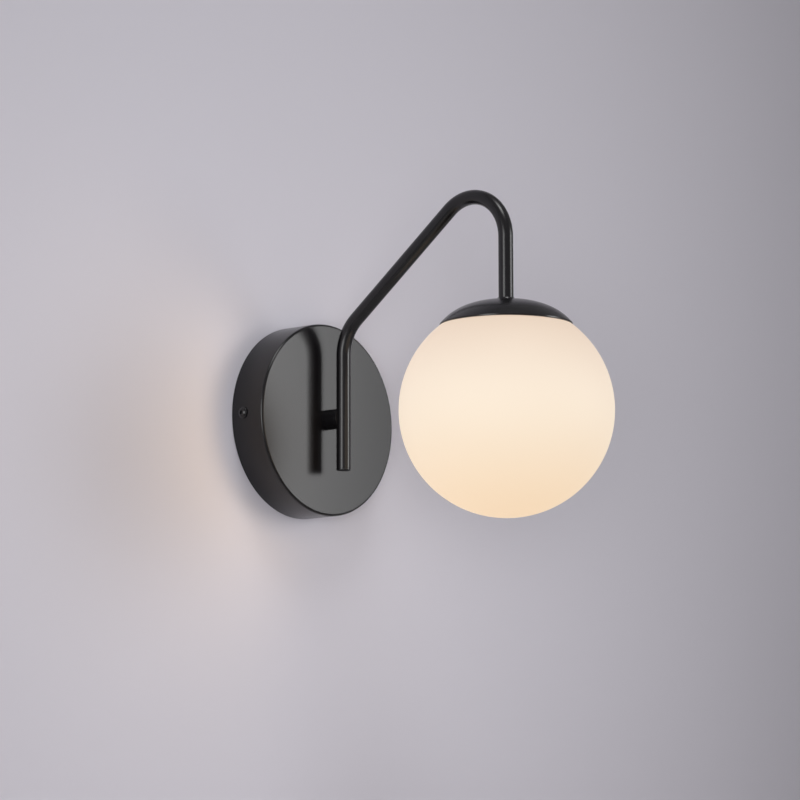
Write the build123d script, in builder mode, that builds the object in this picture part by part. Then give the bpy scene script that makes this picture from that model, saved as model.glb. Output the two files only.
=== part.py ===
from build123d import *
import os
from math import cos, radians, sin, sqrt, tan

# Globe wall sconce: a round canopy carries one bent tube, which hangs an opal globe under a domed cap.
# +Z is up, the wall is the plane Y = 0 and the lamp stands out from it along -Y.
# The origin is the middle of the wall fixing, on the wall, behind the centre of the canopy.

# ---------------------------------------- driving dimensions (mm)
# fits
seat_gap = 0.05  # between pieces screwed or pressed together
rest_gap = 0.15  # between a loose piece and the face that it rests on
running_gap = 0.3  # between the globe and what stands still round it

# canopy
canopy_diameter = 134.0
canopy_depth = 28.5
canopy_wall = 1.2
canopy_edge_radius = 1.8
side_screw_setback = 10.7  # from the wall to the axis of the side screws

# wall bracket
bracket_thickness = 2.0
bracket_width = 16.0
bracket_bend_radius = 2.5
bracket_to_canopy = 0.8
bracket_hub_diameter = 36.0
bracket_ear_reach = 17.0
bracket_tab_margin = 1.0  # of the tab past the end of the terminal block
cable_hole_diameter = 16.0
wall_slot_spacing = 60.0
wall_slot_length = 10.0
wall_slot_width = 4.6

# side screws of the canopy, and the earth screw
screw_diameter = 4.0
screw_head_diameter = 8.0
screw_head_height = 2.4
screw_length = 8.0
screw_key = 2.5
earth_screw_head_diameter = 7.0
small_screw_diameter = 3.0
small_screw_head_diameter = 5.4
small_screw_head_height = 1.7
small_screw_key = 1.8

# earth lug
lug_thickness = 0.8
lug_eye_diameter = 7.4
lug_barrel_wall = 0.7
lug_barrel_length = 4.5

# terminal block
pole_pitch = 9.5
pole_diameter = 6.8
pole_setback = 7.0  # from the wall to the axes of the three poles
pole_bore = 3.2
block_length = 16.0
block_height_on_bracket = 25.0  # from the canopy axis up to the middle of the block
tower_diameter = 5.2
tower_offset = 4.2
tower_top = 14.0
block_web_inset = 0.5  # of the thin web behind the poles, on every side
clamp_screw_diameter = 3.0
clamp_screw_inset = 1.0  # of the screw's top below the top of its tower
clamp_slot_width = 0.6
clamp_slot_depth = 1.2

# stub between canopy and arm
stub_diameter = 14.0
stub_length = 14.0  # from the canopy's face to the axis of the arm's lower leg
sleeve_length = 11.3
ferrule_length = 13.0
nipple_diameter = 10.0
nipple_bore = 6.6
nipple_grip = 4.0
nipple_tail = 7.3
spigot_diameter = 11.2  # of the ferrule, inside the sleeve
spigot_gap = 0.5  # between the nipple's end and the ferrule
bush_wall = 0.5
bush_spigot = 3.6
bush_flange = 0.8
nut_flats = 14.0
nut_thickness = 3.2
lock_washer_thickness = 0.8

# arm
tube_diameter = 10.0
tube_wall = 1.0
bend_radius = 30.7
arm_slope = 52.5  # degrees between the raised run and the vertical
arm_reach = 147.0  # from the axis of the lower leg to the axis of the globe
lower_leg_drop = 36.5  # from the canopy axis to the closed end of the tube
lower_corner_rise = 58.7  # from the canopy axis to where leg and raised run would meet
plug_head = 1.2
plug_chamfer = 0.36
plug_spigot = 7.0

# globe
globe_diameter = 144.0
globe_drop = 8.0  # from the canopy axis to the middle of the globe
glass_wall = 3.0
neck_diameter = 54.0
neck_bore = 47.0
neck_rise = 9.2  # from the glass shoulder to the top of the neck
seat_rise = 1.8  # from the glass shoulder to the ledge for the gasket
seat_diameter = 69.0
neck_lip_radius = 0.75
thread_depth = 0.7

# cap over the globe
cap_diameter = 89.0
cap_wall = 1.0
cap_height = 16.6
cap_lip = 0.95
cap_crown_radius = 56.4
cap_crown_angle = 23.8
cap_seat_margin = 0.8  # flat of the cap outside the collar
collar_diameter = 13.2
collar_top_diameter = 11.6
collar_height = 2.0
collar_rim = 0.6  # straight part of the collar below its cone
tube_end_rise = 3.2  # from the glass shoulder to the threaded end of the tube

# gallery that the globe screws into
gallery_plate = 1.2
gallery_wall = 1.5
gallery_drop = 5.2  # from under the cap's top to the gallery's plate
gallery_corner_radius = 0.96
gasket_width = 5.0
gasket_height = 1.2  # with the clearance under it and over it

# lampholder
holder_width = 18.0
holder_depth = 15.0
holder_height = 19.0
holder_corner = 3.5
holder_gap = 4.2  # between the end of the tube and the top of the holder
stirrup_thickness = 1.0
stirrup_depth = 11.0
stirrup_leg_margin = 5.0
holder_screw_bite = 3.0
wire_hole_clearance = 0.2
pin_spacing = 9.0
pin_length = 7.0
pin_width = 2.4
pin_wire = 0.7
contact_leaf = 0.5
contact_depth = 3.4
contact_room = 0.3
socket_depth = 4.5
socket_length = 14.0
socket_width = 6.4
socket_corner = 1.5

# bulb
bulb_base_diameter = 16.0
bulb_base_height = 9.0
bulb_cover_diameter = 15.0
bulb_cover_length = 32.0
bulb_cover_wall = 1.0
led_core_diameter = 8.0

# wires
wire_diameter = 1.8
wire_spacing = 3.2
wire_bend = 9.0
wire_turn_radius = 5.0
lamp_wire_drop = 6.0  # straight part below the terminal block
earth_wire_drop = 4.0
earth_wire_rise = 3.0  # straight part above the lug
wire_mouth_depth = 6.0  # from the nipple's inner end to where the wires leave it

# ---------------------------------------- places worked out from them
canopy_radius = canopy_diameter / 2
canopy_inner_radius = canopy_radius - canopy_wall
canopy_back = canopy_depth - canopy_wall
tube_radius = tube_diameter / 2
tube_bore_radius = tube_radius - tube_wall
leg_y = -(canopy_depth + stub_length)
drop_y = leg_y - arm_reach
upper_corner_rise = lower_corner_rise + arm_reach / tan(radians(arm_slope))

globe_radius = globe_diameter / 2
cap_radius = cap_diameter / 2
shoulder_z = -globe_drop + sqrt(globe_radius**2 - cap_radius**2)
cap_base_z = shoulder_z + running_gap
cap_top_z = cap_base_z + cap_height
cap_ceiling_z = cap_top_z - cap_wall
tube_end_z = shoulder_z + tube_end_rise
plate_top_z = cap_ceiling_z - gallery_drop
plate_base_z = plate_top_z - gallery_plate
ledge_z = shoulder_z + seat_rise
neck_top_z = shoulder_z + neck_rise
gasket_base_z = ledge_z + rest_gap
gallery_inner_radius = neck_diameter / 2 + thread_depth
gallery_radius = gallery_inner_radius + gallery_wall
gallery_base_z = gasket_base_z + gasket_height
stirrup_top_z = plate_base_z - seat_gap
stirrup_base_z = stirrup_top_z - stirrup_thickness
holder_top_z = tube_end_z - holder_gap
holder_base_z = holder_top_z - holder_height
holder_screw_z = holder_top_z - stirrup_leg_margin

thread_bore = tube_radius + seat_gap
nipple_radius = nipple_diameter / 2 - seat_gap
nipple_inner_y = -(canopy_back - nipple_tail)
nipple_outer_y = -(canopy_depth + nipple_grip)
joint_y = -(canopy_depth + sleeve_length)
wire_offset = wire_spacing / 2

drop_axis = Axis((0, drop_y, 0), (0, 0, 1))
drop_plane = Plane(origin=(0, drop_y, 0), x_dir=(1, 0, 0), z_dir=(0, -1, 0))
side_screw_seats = [
    Plane(origin=(side * canopy_radius, -side_screw_setback, 0), x_dir=(0, 1, 0), z_dir=(side, 0, 0))
    for side in (1, -1)
]

os.makedirs("parts", exist_ok=True)


# ---------------------------------------- standard fasteners
def button_screw(diameter, length, head_diameter, head_height, key_flats):
    """A button-head screw along -Z, its head standing on the plane Z = 0, with a hexagon socket."""
    with BuildPart() as screw:
        with BuildSketch(Plane.XZ):
            with BuildLine():
                Line((0, head_height), (0, -length))
                Line((0, -length), (diameter / 2 - seat_gap, -length))
                Line((diameter / 2 - seat_gap, -length), (diameter / 2 - seat_gap, 0))
                Line((diameter / 2 - seat_gap, 0), (head_diameter / 2, 0))
                rim = Line((head_diameter / 2, 0), (head_diameter / 2, head_height * 0.25))
                TangentArc((0, head_height), rim @ 1, tangent=(1, 0))
            make_face()
        revolve(axis=Axis.Z)
        with BuildSketch(Plane.XY.offset(head_height)):
            RegularPolygon(radius=key_flats / 2, side_count=6, major_radius=False)
        extrude(amount=-head_height * 0.6, mode=Mode.SUBTRACT)
    return screw.part


def hex_nut(bore_radius, flats, thickness):
    """A thin hexagon nut on the plane Z = 0."""
    with BuildPart() as nut:
        with BuildSketch():
            RegularPolygon(radius=flats / 2, side_count=6, major_radius=False)
            Circle(bore_radius, mode=Mode.SUBTRACT)
        extrude(amount=thickness)
    return nut.part


def lock_washer(bore_radius, outer_radius, thickness, teeth=8):
    """A toothed lock washer on the plane Z = 0."""
    with BuildPart() as washer:
        with BuildSketch():
            Circle(outer_radius)
            Circle(bore_radius, mode=Mode.SUBTRACT)
            with PolarLocations(outer_radius, teeth):
                Rectangle((outer_radius - bore_radius) * 0.9, outer_radius * 0.22, mode=Mode.SUBTRACT)
        extrude(amount=thickness)
    return washer.part


side_screw_solid = button_screw(
    screw_diameter, screw_length, screw_head_diameter, screw_head_height, screw_key
)
m10_nut = hex_nut(thread_bore, nut_flats, nut_thickness)
m10_washer = lock_washer(thread_bore, nut_flats / 2, lock_washer_thickness)
stub_nut_solid = hex_nut(nipple_radius + seat_gap, nut_flats, nut_thickness)
stub_washer_solid = lock_washer(nipple_radius + seat_gap, nut_flats / 2, lock_washer_thickness)

# ---------------------------------------- canopy: a spun steel pan, open to the wall
with BuildPart() as canopy:
    with BuildSketch(Plane.XY) as canopy_section:
        with BuildLine():
            Polyline(
                (nipple_radius + seat_gap, -canopy_depth),
                (canopy_radius, -canopy_depth),
                (canopy_radius, 0),
                (canopy_inner_radius, 0),
                (canopy_inner_radius, -canopy_back),
                (nipple_radius + seat_gap, -canopy_back),
                close=True,
            )
        make_face()
        front_corner = canopy_section.vertices().group_by(Axis.Y)[0].sort_by(Axis.X)[-1]
        fillet(front_corner, radius=canopy_edge_radius)
    revolve(axis=Axis.Y)
    with BuildSketch(Plane.YZ):
        with Locations((-side_screw_setback, 0)):
            Circle(screw_diameter / 2 + running_gap)
    extrude(amount=canopy_radius + canopy_wall, both=True, mode=Mode.SUBTRACT)
canopy.part.label = "canopy"
export_step(canopy.part, "parts/canopy.step")

# ---------------------------------------- wall bracket: a bent steel strap with two tapped ears
ear_x = canopy_inner_radius - bracket_to_canopy
tab_top = block_height_on_bracket + block_length / 2 + bracket_tab_margin
block_width = 2 * pole_pitch + pole_diameter
earth_screw_place = (-bracket_hub_diameter / 4, -bracket_hub_diameter / 4)
with BuildPart() as mounting_bracket:
    with BuildSketch(Plane.XY):
        with BuildLine():
            strap_line = FilletPolyline(
                (-ear_x, -bracket_ear_reach),
                (-ear_x, 0),
                (ear_x, 0),
                (ear_x, -bracket_ear_reach),
                radius=bracket_bend_radius,
            )
            offset(strap_line, amount=bracket_thickness, side=Side.RIGHT)
        make_face()
    extrude(amount=bracket_width / 2, both=True)
    ear_tips = mounting_bracket.edges().filter_by(Axis.X).group_by(Axis.Y)[0]
    fillet(ear_tips, radius=bracket_width * 0.3)
    with BuildSketch(Plane.XZ):
        Circle(bracket_hub_diameter / 2)
        with Locations((0, tab_top / 2)):
            Rectangle(block_width, tab_top)
    extrude(amount=bracket_thickness)
    with BuildSketch(Plane.XZ):
        Circle(cable_hole_diameter / 2)
        with Locations((-wall_slot_spacing / 2, 0), (wall_slot_spacing / 2, 0)):
            SlotOverall(wall_slot_length, wall_slot_width)
        with Locations(earth_screw_place):
            Circle(screw_diameter / 2)
        with Locations((pole_pitch / 2, block_height_on_bracket)):
            Circle(small_screw_diameter / 2)
    extrude(amount=bracket_thickness, mode=Mode.SUBTRACT)
    with BuildSketch(Plane.YZ):
        with Locations((-side_screw_setback, 0)):
            Circle(screw_diameter / 2)
    extrude(amount=canopy_radius, both=True, mode=Mode.SUBTRACT)
mounting_bracket.part.label = "mounting_bracket"
export_step(mounting_bracket.part, "parts/mounting_bracket.step")

with BuildPart() as canopy_screws:
    for seat in side_screw_seats:
        add(seat.location * side_screw_solid)
canopy_screws.part.label = "canopy_screws"
export_step(canopy_screws.part, "parts/canopy_screws.step")

# ---------------------------------------- earth lug and screw on the bracket's hub
lug_barrel_radius = wire_diameter / 2 + lug_barrel_wall
lug_barrel_z = earth_screw_place[1] + screw_head_diameter / 2 + lug_barrel_length / 2
earth_wire_y = -(bracket_thickness + lug_barrel_radius)
with BuildPart() as earth_lug:
    with BuildSketch(Plane.XZ.offset(bracket_thickness)):
        with Locations(earth_screw_place):
            Circle(lug_eye_diameter / 2)
        with Locations((earth_screw_place[0], (earth_screw_place[1] + lug_barrel_z) / 2)):
            Rectangle(2 * lug_barrel_radius * 0.9, lug_barrel_z - earth_screw_place[1])
        with Locations(earth_screw_place):
            Circle(screw_diameter / 2 + seat_gap, mode=Mode.SUBTRACT)
    extrude(amount=lug_thickness)
    with BuildSketch(Plane.XY.offset(lug_barrel_z - lug_barrel_length / 2)):
        with Locations((earth_screw_place[0], earth_wire_y)):
            Circle(lug_barrel_radius)
    extrude(amount=lug_barrel_length)
    with BuildSketch(Plane.XY.offset(lug_barrel_z - lug_barrel_length / 2)):
        with Locations((earth_screw_place[0], earth_wire_y)):
            Circle(wire_diameter / 2 + seat_gap)
    extrude(amount=lug_barrel_length, mode=Mode.SUBTRACT)
earth_lug.part.label = "earth_lug"
export_step(earth_lug.part, "parts/earth_lug.step")

earth_seat = Plane(
    origin=(earth_screw_place[0], -(bracket_thickness + lug_thickness), earth_screw_place[1]),
    x_dir=(1, 0, 0),
    z_dir=(0, -1, 0),
)
earth_screw_solid = button_screw(
    screw_diameter,
    bracket_thickness + lug_thickness - seat_gap,
    earth_screw_head_diameter,
    screw_head_height,
    screw_key,
)
with BuildPart() as earth_screw:
    add(earth_seat.location * earth_screw_solid)
earth_screw.part.label = "earth_screw"
export_step(earth_screw.part, "parts/earth_screw.step")

# ---------------------------------------- terminal block: three poles on the bracket's tab
block_base = block_height_on_bracket - block_length / 2
pole_places = [(index * pole_pitch, -pole_setback) for index in (-1, 0, 1)]
tower_places = [
    (index * pole_pitch, block_height_on_bracket + side * tower_offset)
    for index in (-1, 0, 1)
    for side in (1, -1)
]
fixing_boss_top = pole_setback + pole_diameter / 2
with BuildPart() as terminal_block:
    with BuildSketch(Plane.XZ.offset(bracket_thickness)):
        with Locations((0, block_height_on_bracket)):
            Rectangle(block_width - 2 * block_web_inset, block_length - 2 * block_web_inset)
    extrude(amount=pole_setback - bracket_thickness)
    with BuildSketch(Plane.XY.offset(block_base)):
        with Locations(pole_places):
            Circle(pole_diameter / 2)
    extrude(amount=block_length)
    with BuildSketch(Plane.XZ.offset(pole_setback)):
        with Locations(tower_places):
            Circle(tower_diameter / 2)
    extrude(amount=tower_top - pole_setback)
    with BuildSketch(Plane.XZ.offset(bracket_thickness)):
        with Locations((pole_pitch / 2, block_height_on_bracket)):
            Circle(small_screw_head_diameter / 2)
    extrude(amount=fixing_boss_top - bracket_thickness)
    with BuildSketch(Plane.XY.offset(block_base)):
        with Locations(pole_places):
            Circle(pole_bore / 2)
    extrude(amount=block_length, mode=Mode.SUBTRACT)
    with BuildSketch(Plane.XZ.offset(pole_setback)):
        with Locations(tower_places):
            Circle(clamp_screw_diameter / 2 + seat_gap)
    extrude(amount=tower_top, mode=Mode.SUBTRACT)
    with BuildSketch(Plane.XZ):
        with Locations((pole_pitch / 2, block_height_on_bracket)):
            Circle(small_screw_diameter / 2 + seat_gap)
    extrude(amount=tower_top, mode=Mode.SUBTRACT)
terminal_block.part.label = "terminal_block"
export_step(terminal_block.part, "parts/terminal_block.step")

# six slotted clamp screws, one at each end of each pole
clamp_screw_base = pole_setback + wire_diameter / 2 + seat_gap
clamp_screw_top = tower_top - clamp_screw_inset
with BuildPart() as clamp_screws:
    with BuildSketch(Plane.XZ.offset(clamp_screw_base)):
        with Locations(tower_places):
            Circle(clamp_screw_diameter / 2)
    extrude(amount=clamp_screw_top - clamp_screw_base)
    with BuildSketch(Plane.XZ.offset(clamp_screw_top)):
        with Locations(tower_places):
            Rectangle(clamp_screw_diameter, clamp_slot_width)
    extrude(amount=-clamp_slot_depth, mode=Mode.SUBTRACT)
clamp_screws.part.label = "clamp_screws"
export_step(clamp_screws.part, "parts/clamp_screws.step")

block_screw_seat = Plane(
    origin=(pole_pitch / 2, -fixing_boss_top, block_height_on_bracket),
    x_dir=(1, 0, 0),
    z_dir=(0, -1, 0),
)
block_screw_solid = button_screw(
    small_screw_diameter,
    fixing_boss_top - seat_gap,
    small_screw_head_diameter - 2 * seat_gap,
    small_screw_head_height,
    small_screw_key,
)
with BuildPart() as block_screw:
    add(block_screw_seat.location * block_screw_solid)
block_screw.part.label = "block_screw"
export_step(block_screw.part, "parts/block_screw.step")

# ---------------------------------------- stub: hollow nipple, nut, washer, sleeve and coped ferrule
with BuildPart() as stub_nipple:
    with BuildSketch(Plane.XZ.offset(-nipple_inner_y)):
        Circle(nipple_radius)
        Circle(nipple_bore / 2, mode=Mode.SUBTRACT)
    extrude(amount=nipple_inner_y - nipple_outer_y)
stub_nipple.part.label = "stub_nipple"
export_step(stub_nipple.part, "parts/stub_nipple.step")

# plastic bush that guards the wires at the nipple's inner end
with BuildPart() as nipple_bush:
    with BuildSketch(Plane.XZ.offset(-nipple_inner_y - bush_flange)):
        Circle(nipple_radius)
    extrude(amount=bush_flange)
    with BuildSketch(Plane.XZ.offset(-nipple_inner_y)):
        Circle(nipple_bore / 2 - seat_gap)
    extrude(amount=bush_spigot)
    with BuildSketch(Plane.XZ.offset(-nipple_inner_y - bush_flange)):
        Circle(nipple_bore / 2 - bush_wall)
    extrude(amount=nipple_tail, mode=Mode.SUBTRACT)
nipple_bush.part.label = "nipple_bush"
export_step(nipple_bush.part, "parts/nipple_bush.step")

washer_plane = Plane(
    origin=(0, -(canopy_back - lock_washer_thickness), 0), x_dir=(1, 0, 0), z_dir=(0, -1, 0)
)
with BuildPart() as nipple_washer:
    add(washer_plane.location * stub_washer_solid)
nipple_washer.part.label = "nipple_washer"
export_step(nipple_washer.part, "parts/nipple_washer.step")

with BuildPart() as nipple_nut:
    add(washer_plane.offset(-nut_thickness).location * stub_nut_solid)
nipple_nut.part.label = "nipple_nut"
export_step(nipple_nut.part, "parts/nipple_nut.step")

spigot_radius = spigot_diameter / 2
spigot_y = nipple_outer_y - spigot_gap
with BuildPart() as stub_sleeve:
    with BuildSketch(Plane.XY):
        with BuildLine():
            Polyline(
                (nipple_radius + seat_gap, -canopy_depth),
                (stub_diameter / 2, -canopy_depth),
                (stub_diameter / 2, joint_y),
                (spigot_radius + seat_gap, joint_y),
                (spigot_radius + seat_gap, spigot_y),
                (nipple_radius + seat_gap, spigot_y),
                close=True,
            )
        make_face()
    revolve(axis=Axis.Y)
    with BuildSketch(Plane.XY.offset(-stub_diameter)):
        with Locations((0, leg_y)):
            Circle(tube_radius + seat_gap)
    extrude(amount=2 * stub_diameter, mode=Mode.SUBTRACT)
stub_sleeve.part.label = "stub_sleeve"
export_step(stub_sleeve.part, "parts/stub_sleeve.step")

ferrule_end_y = -(canopy_depth + ferrule_length)
with BuildPart() as saddle_ferrule:
    with BuildSketch(Plane.XY):
        with BuildLine():
            Polyline(
                (nipple_bore / 2, spigot_y - seat_gap),
                (spigot_radius, spigot_y - seat_gap),
                (spigot_radius, joint_y - rest_gap),
                (stub_diameter / 2, joint_y - rest_gap),
                (stub_diameter / 2, ferrule_end_y),
                (nipple_bore / 2, ferrule_end_y),
                close=True,
            )
        make_face()
    revolve(axis=Axis.Y)
    with BuildSketch(Plane.XY.offset(-stub_diameter)):
        with Locations((0, leg_y)):
            Circle(tube_radius + seat_gap)
    extrude(amount=2 * stub_diameter, mode=Mode.SUBTRACT)
saddle_ferrule.part.label = "saddle_ferrule"
export_step(saddle_ferrule.part, "parts/saddle_ferrule.step")

# ---------------------------------------- arm: one tube, bent twice, from the stub to the globe
tube_base_z = -(lower_leg_drop - plug_head)
with BuildPart() as arm_tube:
    with BuildLine(Plane.YZ):
        FilletPolyline(
            (leg_y, tube_base_z),
            (leg_y, lower_corner_rise),
            (drop_y, upper_corner_rise),
            (drop_y, tube_end_z),
            radius=bend_radius,
        )
    with BuildSketch(Plane.XY.offset(tube_base_z)):
        with Locations((0, leg_y)):
            Circle(tube_radius)
            Circle(tube_bore_radius, mode=Mode.SUBTRACT)
    sweep()
    with BuildSketch(Plane(origin=(0, leg_y, 0), x_dir=(1, 0, 0), z_dir=(0, 1, 0))):
        Circle(nipple_bore / 2)
    extrude(amount=tube_diameter, mode=Mode.SUBTRACT)
arm_tube.part.label = "arm_tube"
export_step(arm_tube.part, "parts/arm_tube.step")

with BuildPart() as tube_end_plug:
    with BuildSketch(Plane.XY.offset(-lower_leg_drop)):
        with Locations((0, leg_y)):
            Circle(tube_radius)
    extrude(amount=plug_head)
    plug_rim = tube_end_plug.edges().filter_by(GeomType.CIRCLE).sort_by(Axis.Z)[0]
    chamfer(plug_rim, length=plug_chamfer)
    with BuildSketch(Plane.XY.offset(tube_base_z)):
        with Locations((0, leg_y)):
            Circle(tube_bore_radius - seat_gap)
    extrude(amount=plug_spigot)
tube_end_plug.part.label = "tube_end_plug"
export_step(tube_end_plug.part, "parts/tube_end_plug.step")

# ---------------------------------------- cap: a spun steel dome, nearly flush with the globe
cap_seat_radius = collar_diameter / 2 + cap_seat_margin
crown_turn = radians(cap_crown_angle)


def cap_outline(wall):
    """Crown arc and skirt arc of the cap, moved in by a wall, from the flat seat down to the lip."""
    radius = cap_crown_radius - wall
    start = (cap_seat_radius, cap_top_z - wall)
    knee = (
        cap_seat_radius + radius * sin(crown_turn),
        cap_top_z - cap_crown_radius + radius * cos(crown_turn),
    )
    lip = (cap_radius - wall, cap_base_z + cap_lip)
    TangentArc(start, knee, tangent=(1, 0))
    TangentArc(knee, lip, tangent=(cos(crown_turn), -sin(crown_turn)))
    Line(lip, (cap_radius - wall, cap_base_z))
    Line((thread_bore, cap_top_z - wall), start)


with BuildPart() as shade_cap:
    with BuildSketch(drop_plane):
        with BuildLine():
            cap_outline(0)
            cap_outline(cap_wall)
            Line((thread_bore, cap_top_z), (thread_bore, cap_ceiling_z))
            Line((cap_radius, cap_base_z), (cap_radius - cap_wall, cap_base_z))
        make_face()
    revolve(axis=drop_axis)
shade_cap.part.label = "shade_cap"
export_step(shade_cap.part, "parts/shade_cap.step")

with BuildPart() as cap_collar:
    with BuildSketch(drop_plane):
        with BuildLine():
            Polyline(
                (thread_bore, cap_top_z),
                (collar_diameter / 2, cap_top_z),
                (collar_diameter / 2, cap_top_z + collar_rim),
                (collar_top_diameter / 2, cap_top_z + collar_height),
                (thread_bore, cap_top_z + collar_height),
                close=True,
            )
        make_face()
    revolve(axis=drop_axis)
cap_collar.part.label = "cap_collar"
export_step(cap_collar.part, "parts/cap_collar.step")

with BuildPart() as cap_washer:
    add(Location((0, drop_y, cap_ceiling_z - lock_washer_thickness)) * m10_washer)
cap_washer.part.label = "cap_washer"
export_step(cap_washer.part, "parts/cap_washer.step")

with BuildPart() as cap_nut:
    add(Location((0, drop_y, cap_ceiling_z - lock_washer_thickness - nut_thickness)) * m10_nut)
cap_nut.part.label = "cap_nut"
export_step(cap_nut.part, "parts/cap_nut.step")

# ---------------------------------------- gallery: the threaded ring that the globe screws into
with BuildPart() as gallery_ring:
    with BuildSketch(drop_plane) as gallery_section:
        with BuildLine():
            Polyline(
                (thread_bore, plate_top_z),
                (gallery_radius, plate_top_z),
                (gallery_radius, gallery_base_z),
                (gallery_inner_radius, gallery_base_z),
                (gallery_inner_radius, plate_base_z),
                (thread_bore, plate_base_z),
                close=True,
            )
        make_face()
        gallery_corner = gallery_section.vertices().group_by(Axis.Z)[-1].sort_by(Axis.X)[-1]
        fillet(gallery_corner, radius=gallery_corner_radius)
    revolve(axis=drop_axis)
gallery_ring.part.label = "gallery_ring"
export_step(gallery_ring.part, "parts/gallery_ring.step")

with BuildPart() as holder_washer:
    add(Location((0, drop_y, stirrup_base_z - lock_washer_thickness)) * m10_washer)
holder_washer.part.label = "holder_washer"
export_step(holder_washer.part, "parts/holder_washer.step")

with BuildPart() as holder_nut:
    add(Location((0, drop_y, stirrup_base_z - lock_washer_thickness - nut_thickness)) * m10_nut)
holder_nut.part.label = "holder_nut"
export_step(holder_nut.part, "parts/holder_nut.step")

# spacer between the cap's nut and the gallery's plate
spacer_top_z = cap_ceiling_z - lock_washer_thickness - nut_thickness
with BuildPart() as gallery_spacer:
    with BuildSketch(Plane.XY.offset(plate_top_z)):
        with Locations((0, drop_y)):
            Circle(nut_flats / 2)
            Circle(thread_bore, mode=Mode.SUBTRACT)
    extrude(amount=spacer_top_z - plate_top_z)
gallery_spacer.part.label = "gallery_spacer"
export_step(gallery_spacer.part, "parts/gallery_spacer.step")

# ---------------------------------------- gasket and opal glass globe
with BuildPart() as globe_gasket:
    with BuildSketch(Plane.XY.offset(gasket_base_z)):
        with Locations((0, drop_y)):
            Circle(neck_diameter / 2 + running_gap + gasket_width)
            Circle(neck_diameter / 2 + running_gap, mode=Mode.SUBTRACT)
    extrude(amount=gallery_base_z - rest_gap - gasket_base_z)
globe_gasket.part.label = "globe_gasket"
export_step(globe_gasket.part, "parts/globe_gasket.step")

inner_radius = globe_radius - glass_wall
inner_shoulder_z = shoulder_z - glass_wall
ledge_radius = cap_radius - 2 * cap_wall
inner_shoulder_radius = sqrt(inner_radius**2 - (inner_shoulder_z + globe_drop) ** 2)
neck_radius = neck_diameter / 2
neck_bore_radius = neck_bore / 2
with BuildPart() as glass_globe:
    with BuildSketch(drop_plane) as globe_section:
        with BuildLine():
            ThreePointArc(
                (0, -globe_drop - globe_radius),
                (globe_radius, -globe_drop),
                (cap_radius, shoulder_z),
            )
            Polyline(
                (cap_radius, shoulder_z),
                (ledge_radius, shoulder_z),
                (seat_diameter / 2, ledge_z),
                (neck_radius, ledge_z),
                (neck_radius, neck_top_z),
                (neck_bore_radius, neck_top_z),
                (neck_bore_radius, ledge_z - glass_wall),
                (seat_diameter / 2, ledge_z - glass_wall),
                (ledge_radius, inner_shoulder_z),
                (inner_shoulder_radius, inner_shoulder_z),
            )
            ThreePointArc(
                (inner_shoulder_radius, inner_shoulder_z),
                (inner_radius, -globe_drop),
                (0, -globe_drop - inner_radius),
            )
            Line((0, -globe_drop - inner_radius), (0, -globe_drop - globe_radius))
        make_face()
        neck_lip = globe_section.vertices().group_by(Axis.Z)[-1]
        fillet(neck_lip, radius=neck_lip_radius)
    revolve(axis=drop_axis)
glass_globe.part.label = "glass_globe"
export_step(glass_globe.part, "parts/glass_globe.step")

# ---------------------------------------- lampholder: ceramic body in a steel stirrup
stirrup_x = holder_width / 2 + seat_gap
stirrup_foot_z = holder_screw_z - stirrup_leg_margin
with BuildPart() as holder_stirrup:
    with BuildSketch(drop_plane):
        with BuildLine():
            stirrup_line = FilletPolyline(
                (-stirrup_x, stirrup_foot_z),
                (-stirrup_x, stirrup_base_z),
                (stirrup_x, stirrup_base_z),
                (stirrup_x, stirrup_foot_z),
                radius=stirrup_thickness,
            )
            offset(stirrup_line, amount=stirrup_thickness, side=Side.LEFT)
        make_face()
    extrude(amount=stirrup_depth / 2, both=True)
    with BuildSketch(Plane.XY.offset(stirrup_base_z)):
        with Locations((0, drop_y)):
            Circle(thread_bore)
    extrude(amount=stirrup_thickness, mode=Mode.SUBTRACT)
    with BuildSketch(Plane.YZ):
        with Locations((drop_y, holder_screw_z)):
            Circle(small_screw_diameter / 2 + seat_gap)
    extrude(amount=holder_width, both=True, mode=Mode.SUBTRACT)
holder_stirrup.part.label = "holder_stirrup"
export_step(holder_stirrup.part, "parts/holder_stirrup.step")

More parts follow.
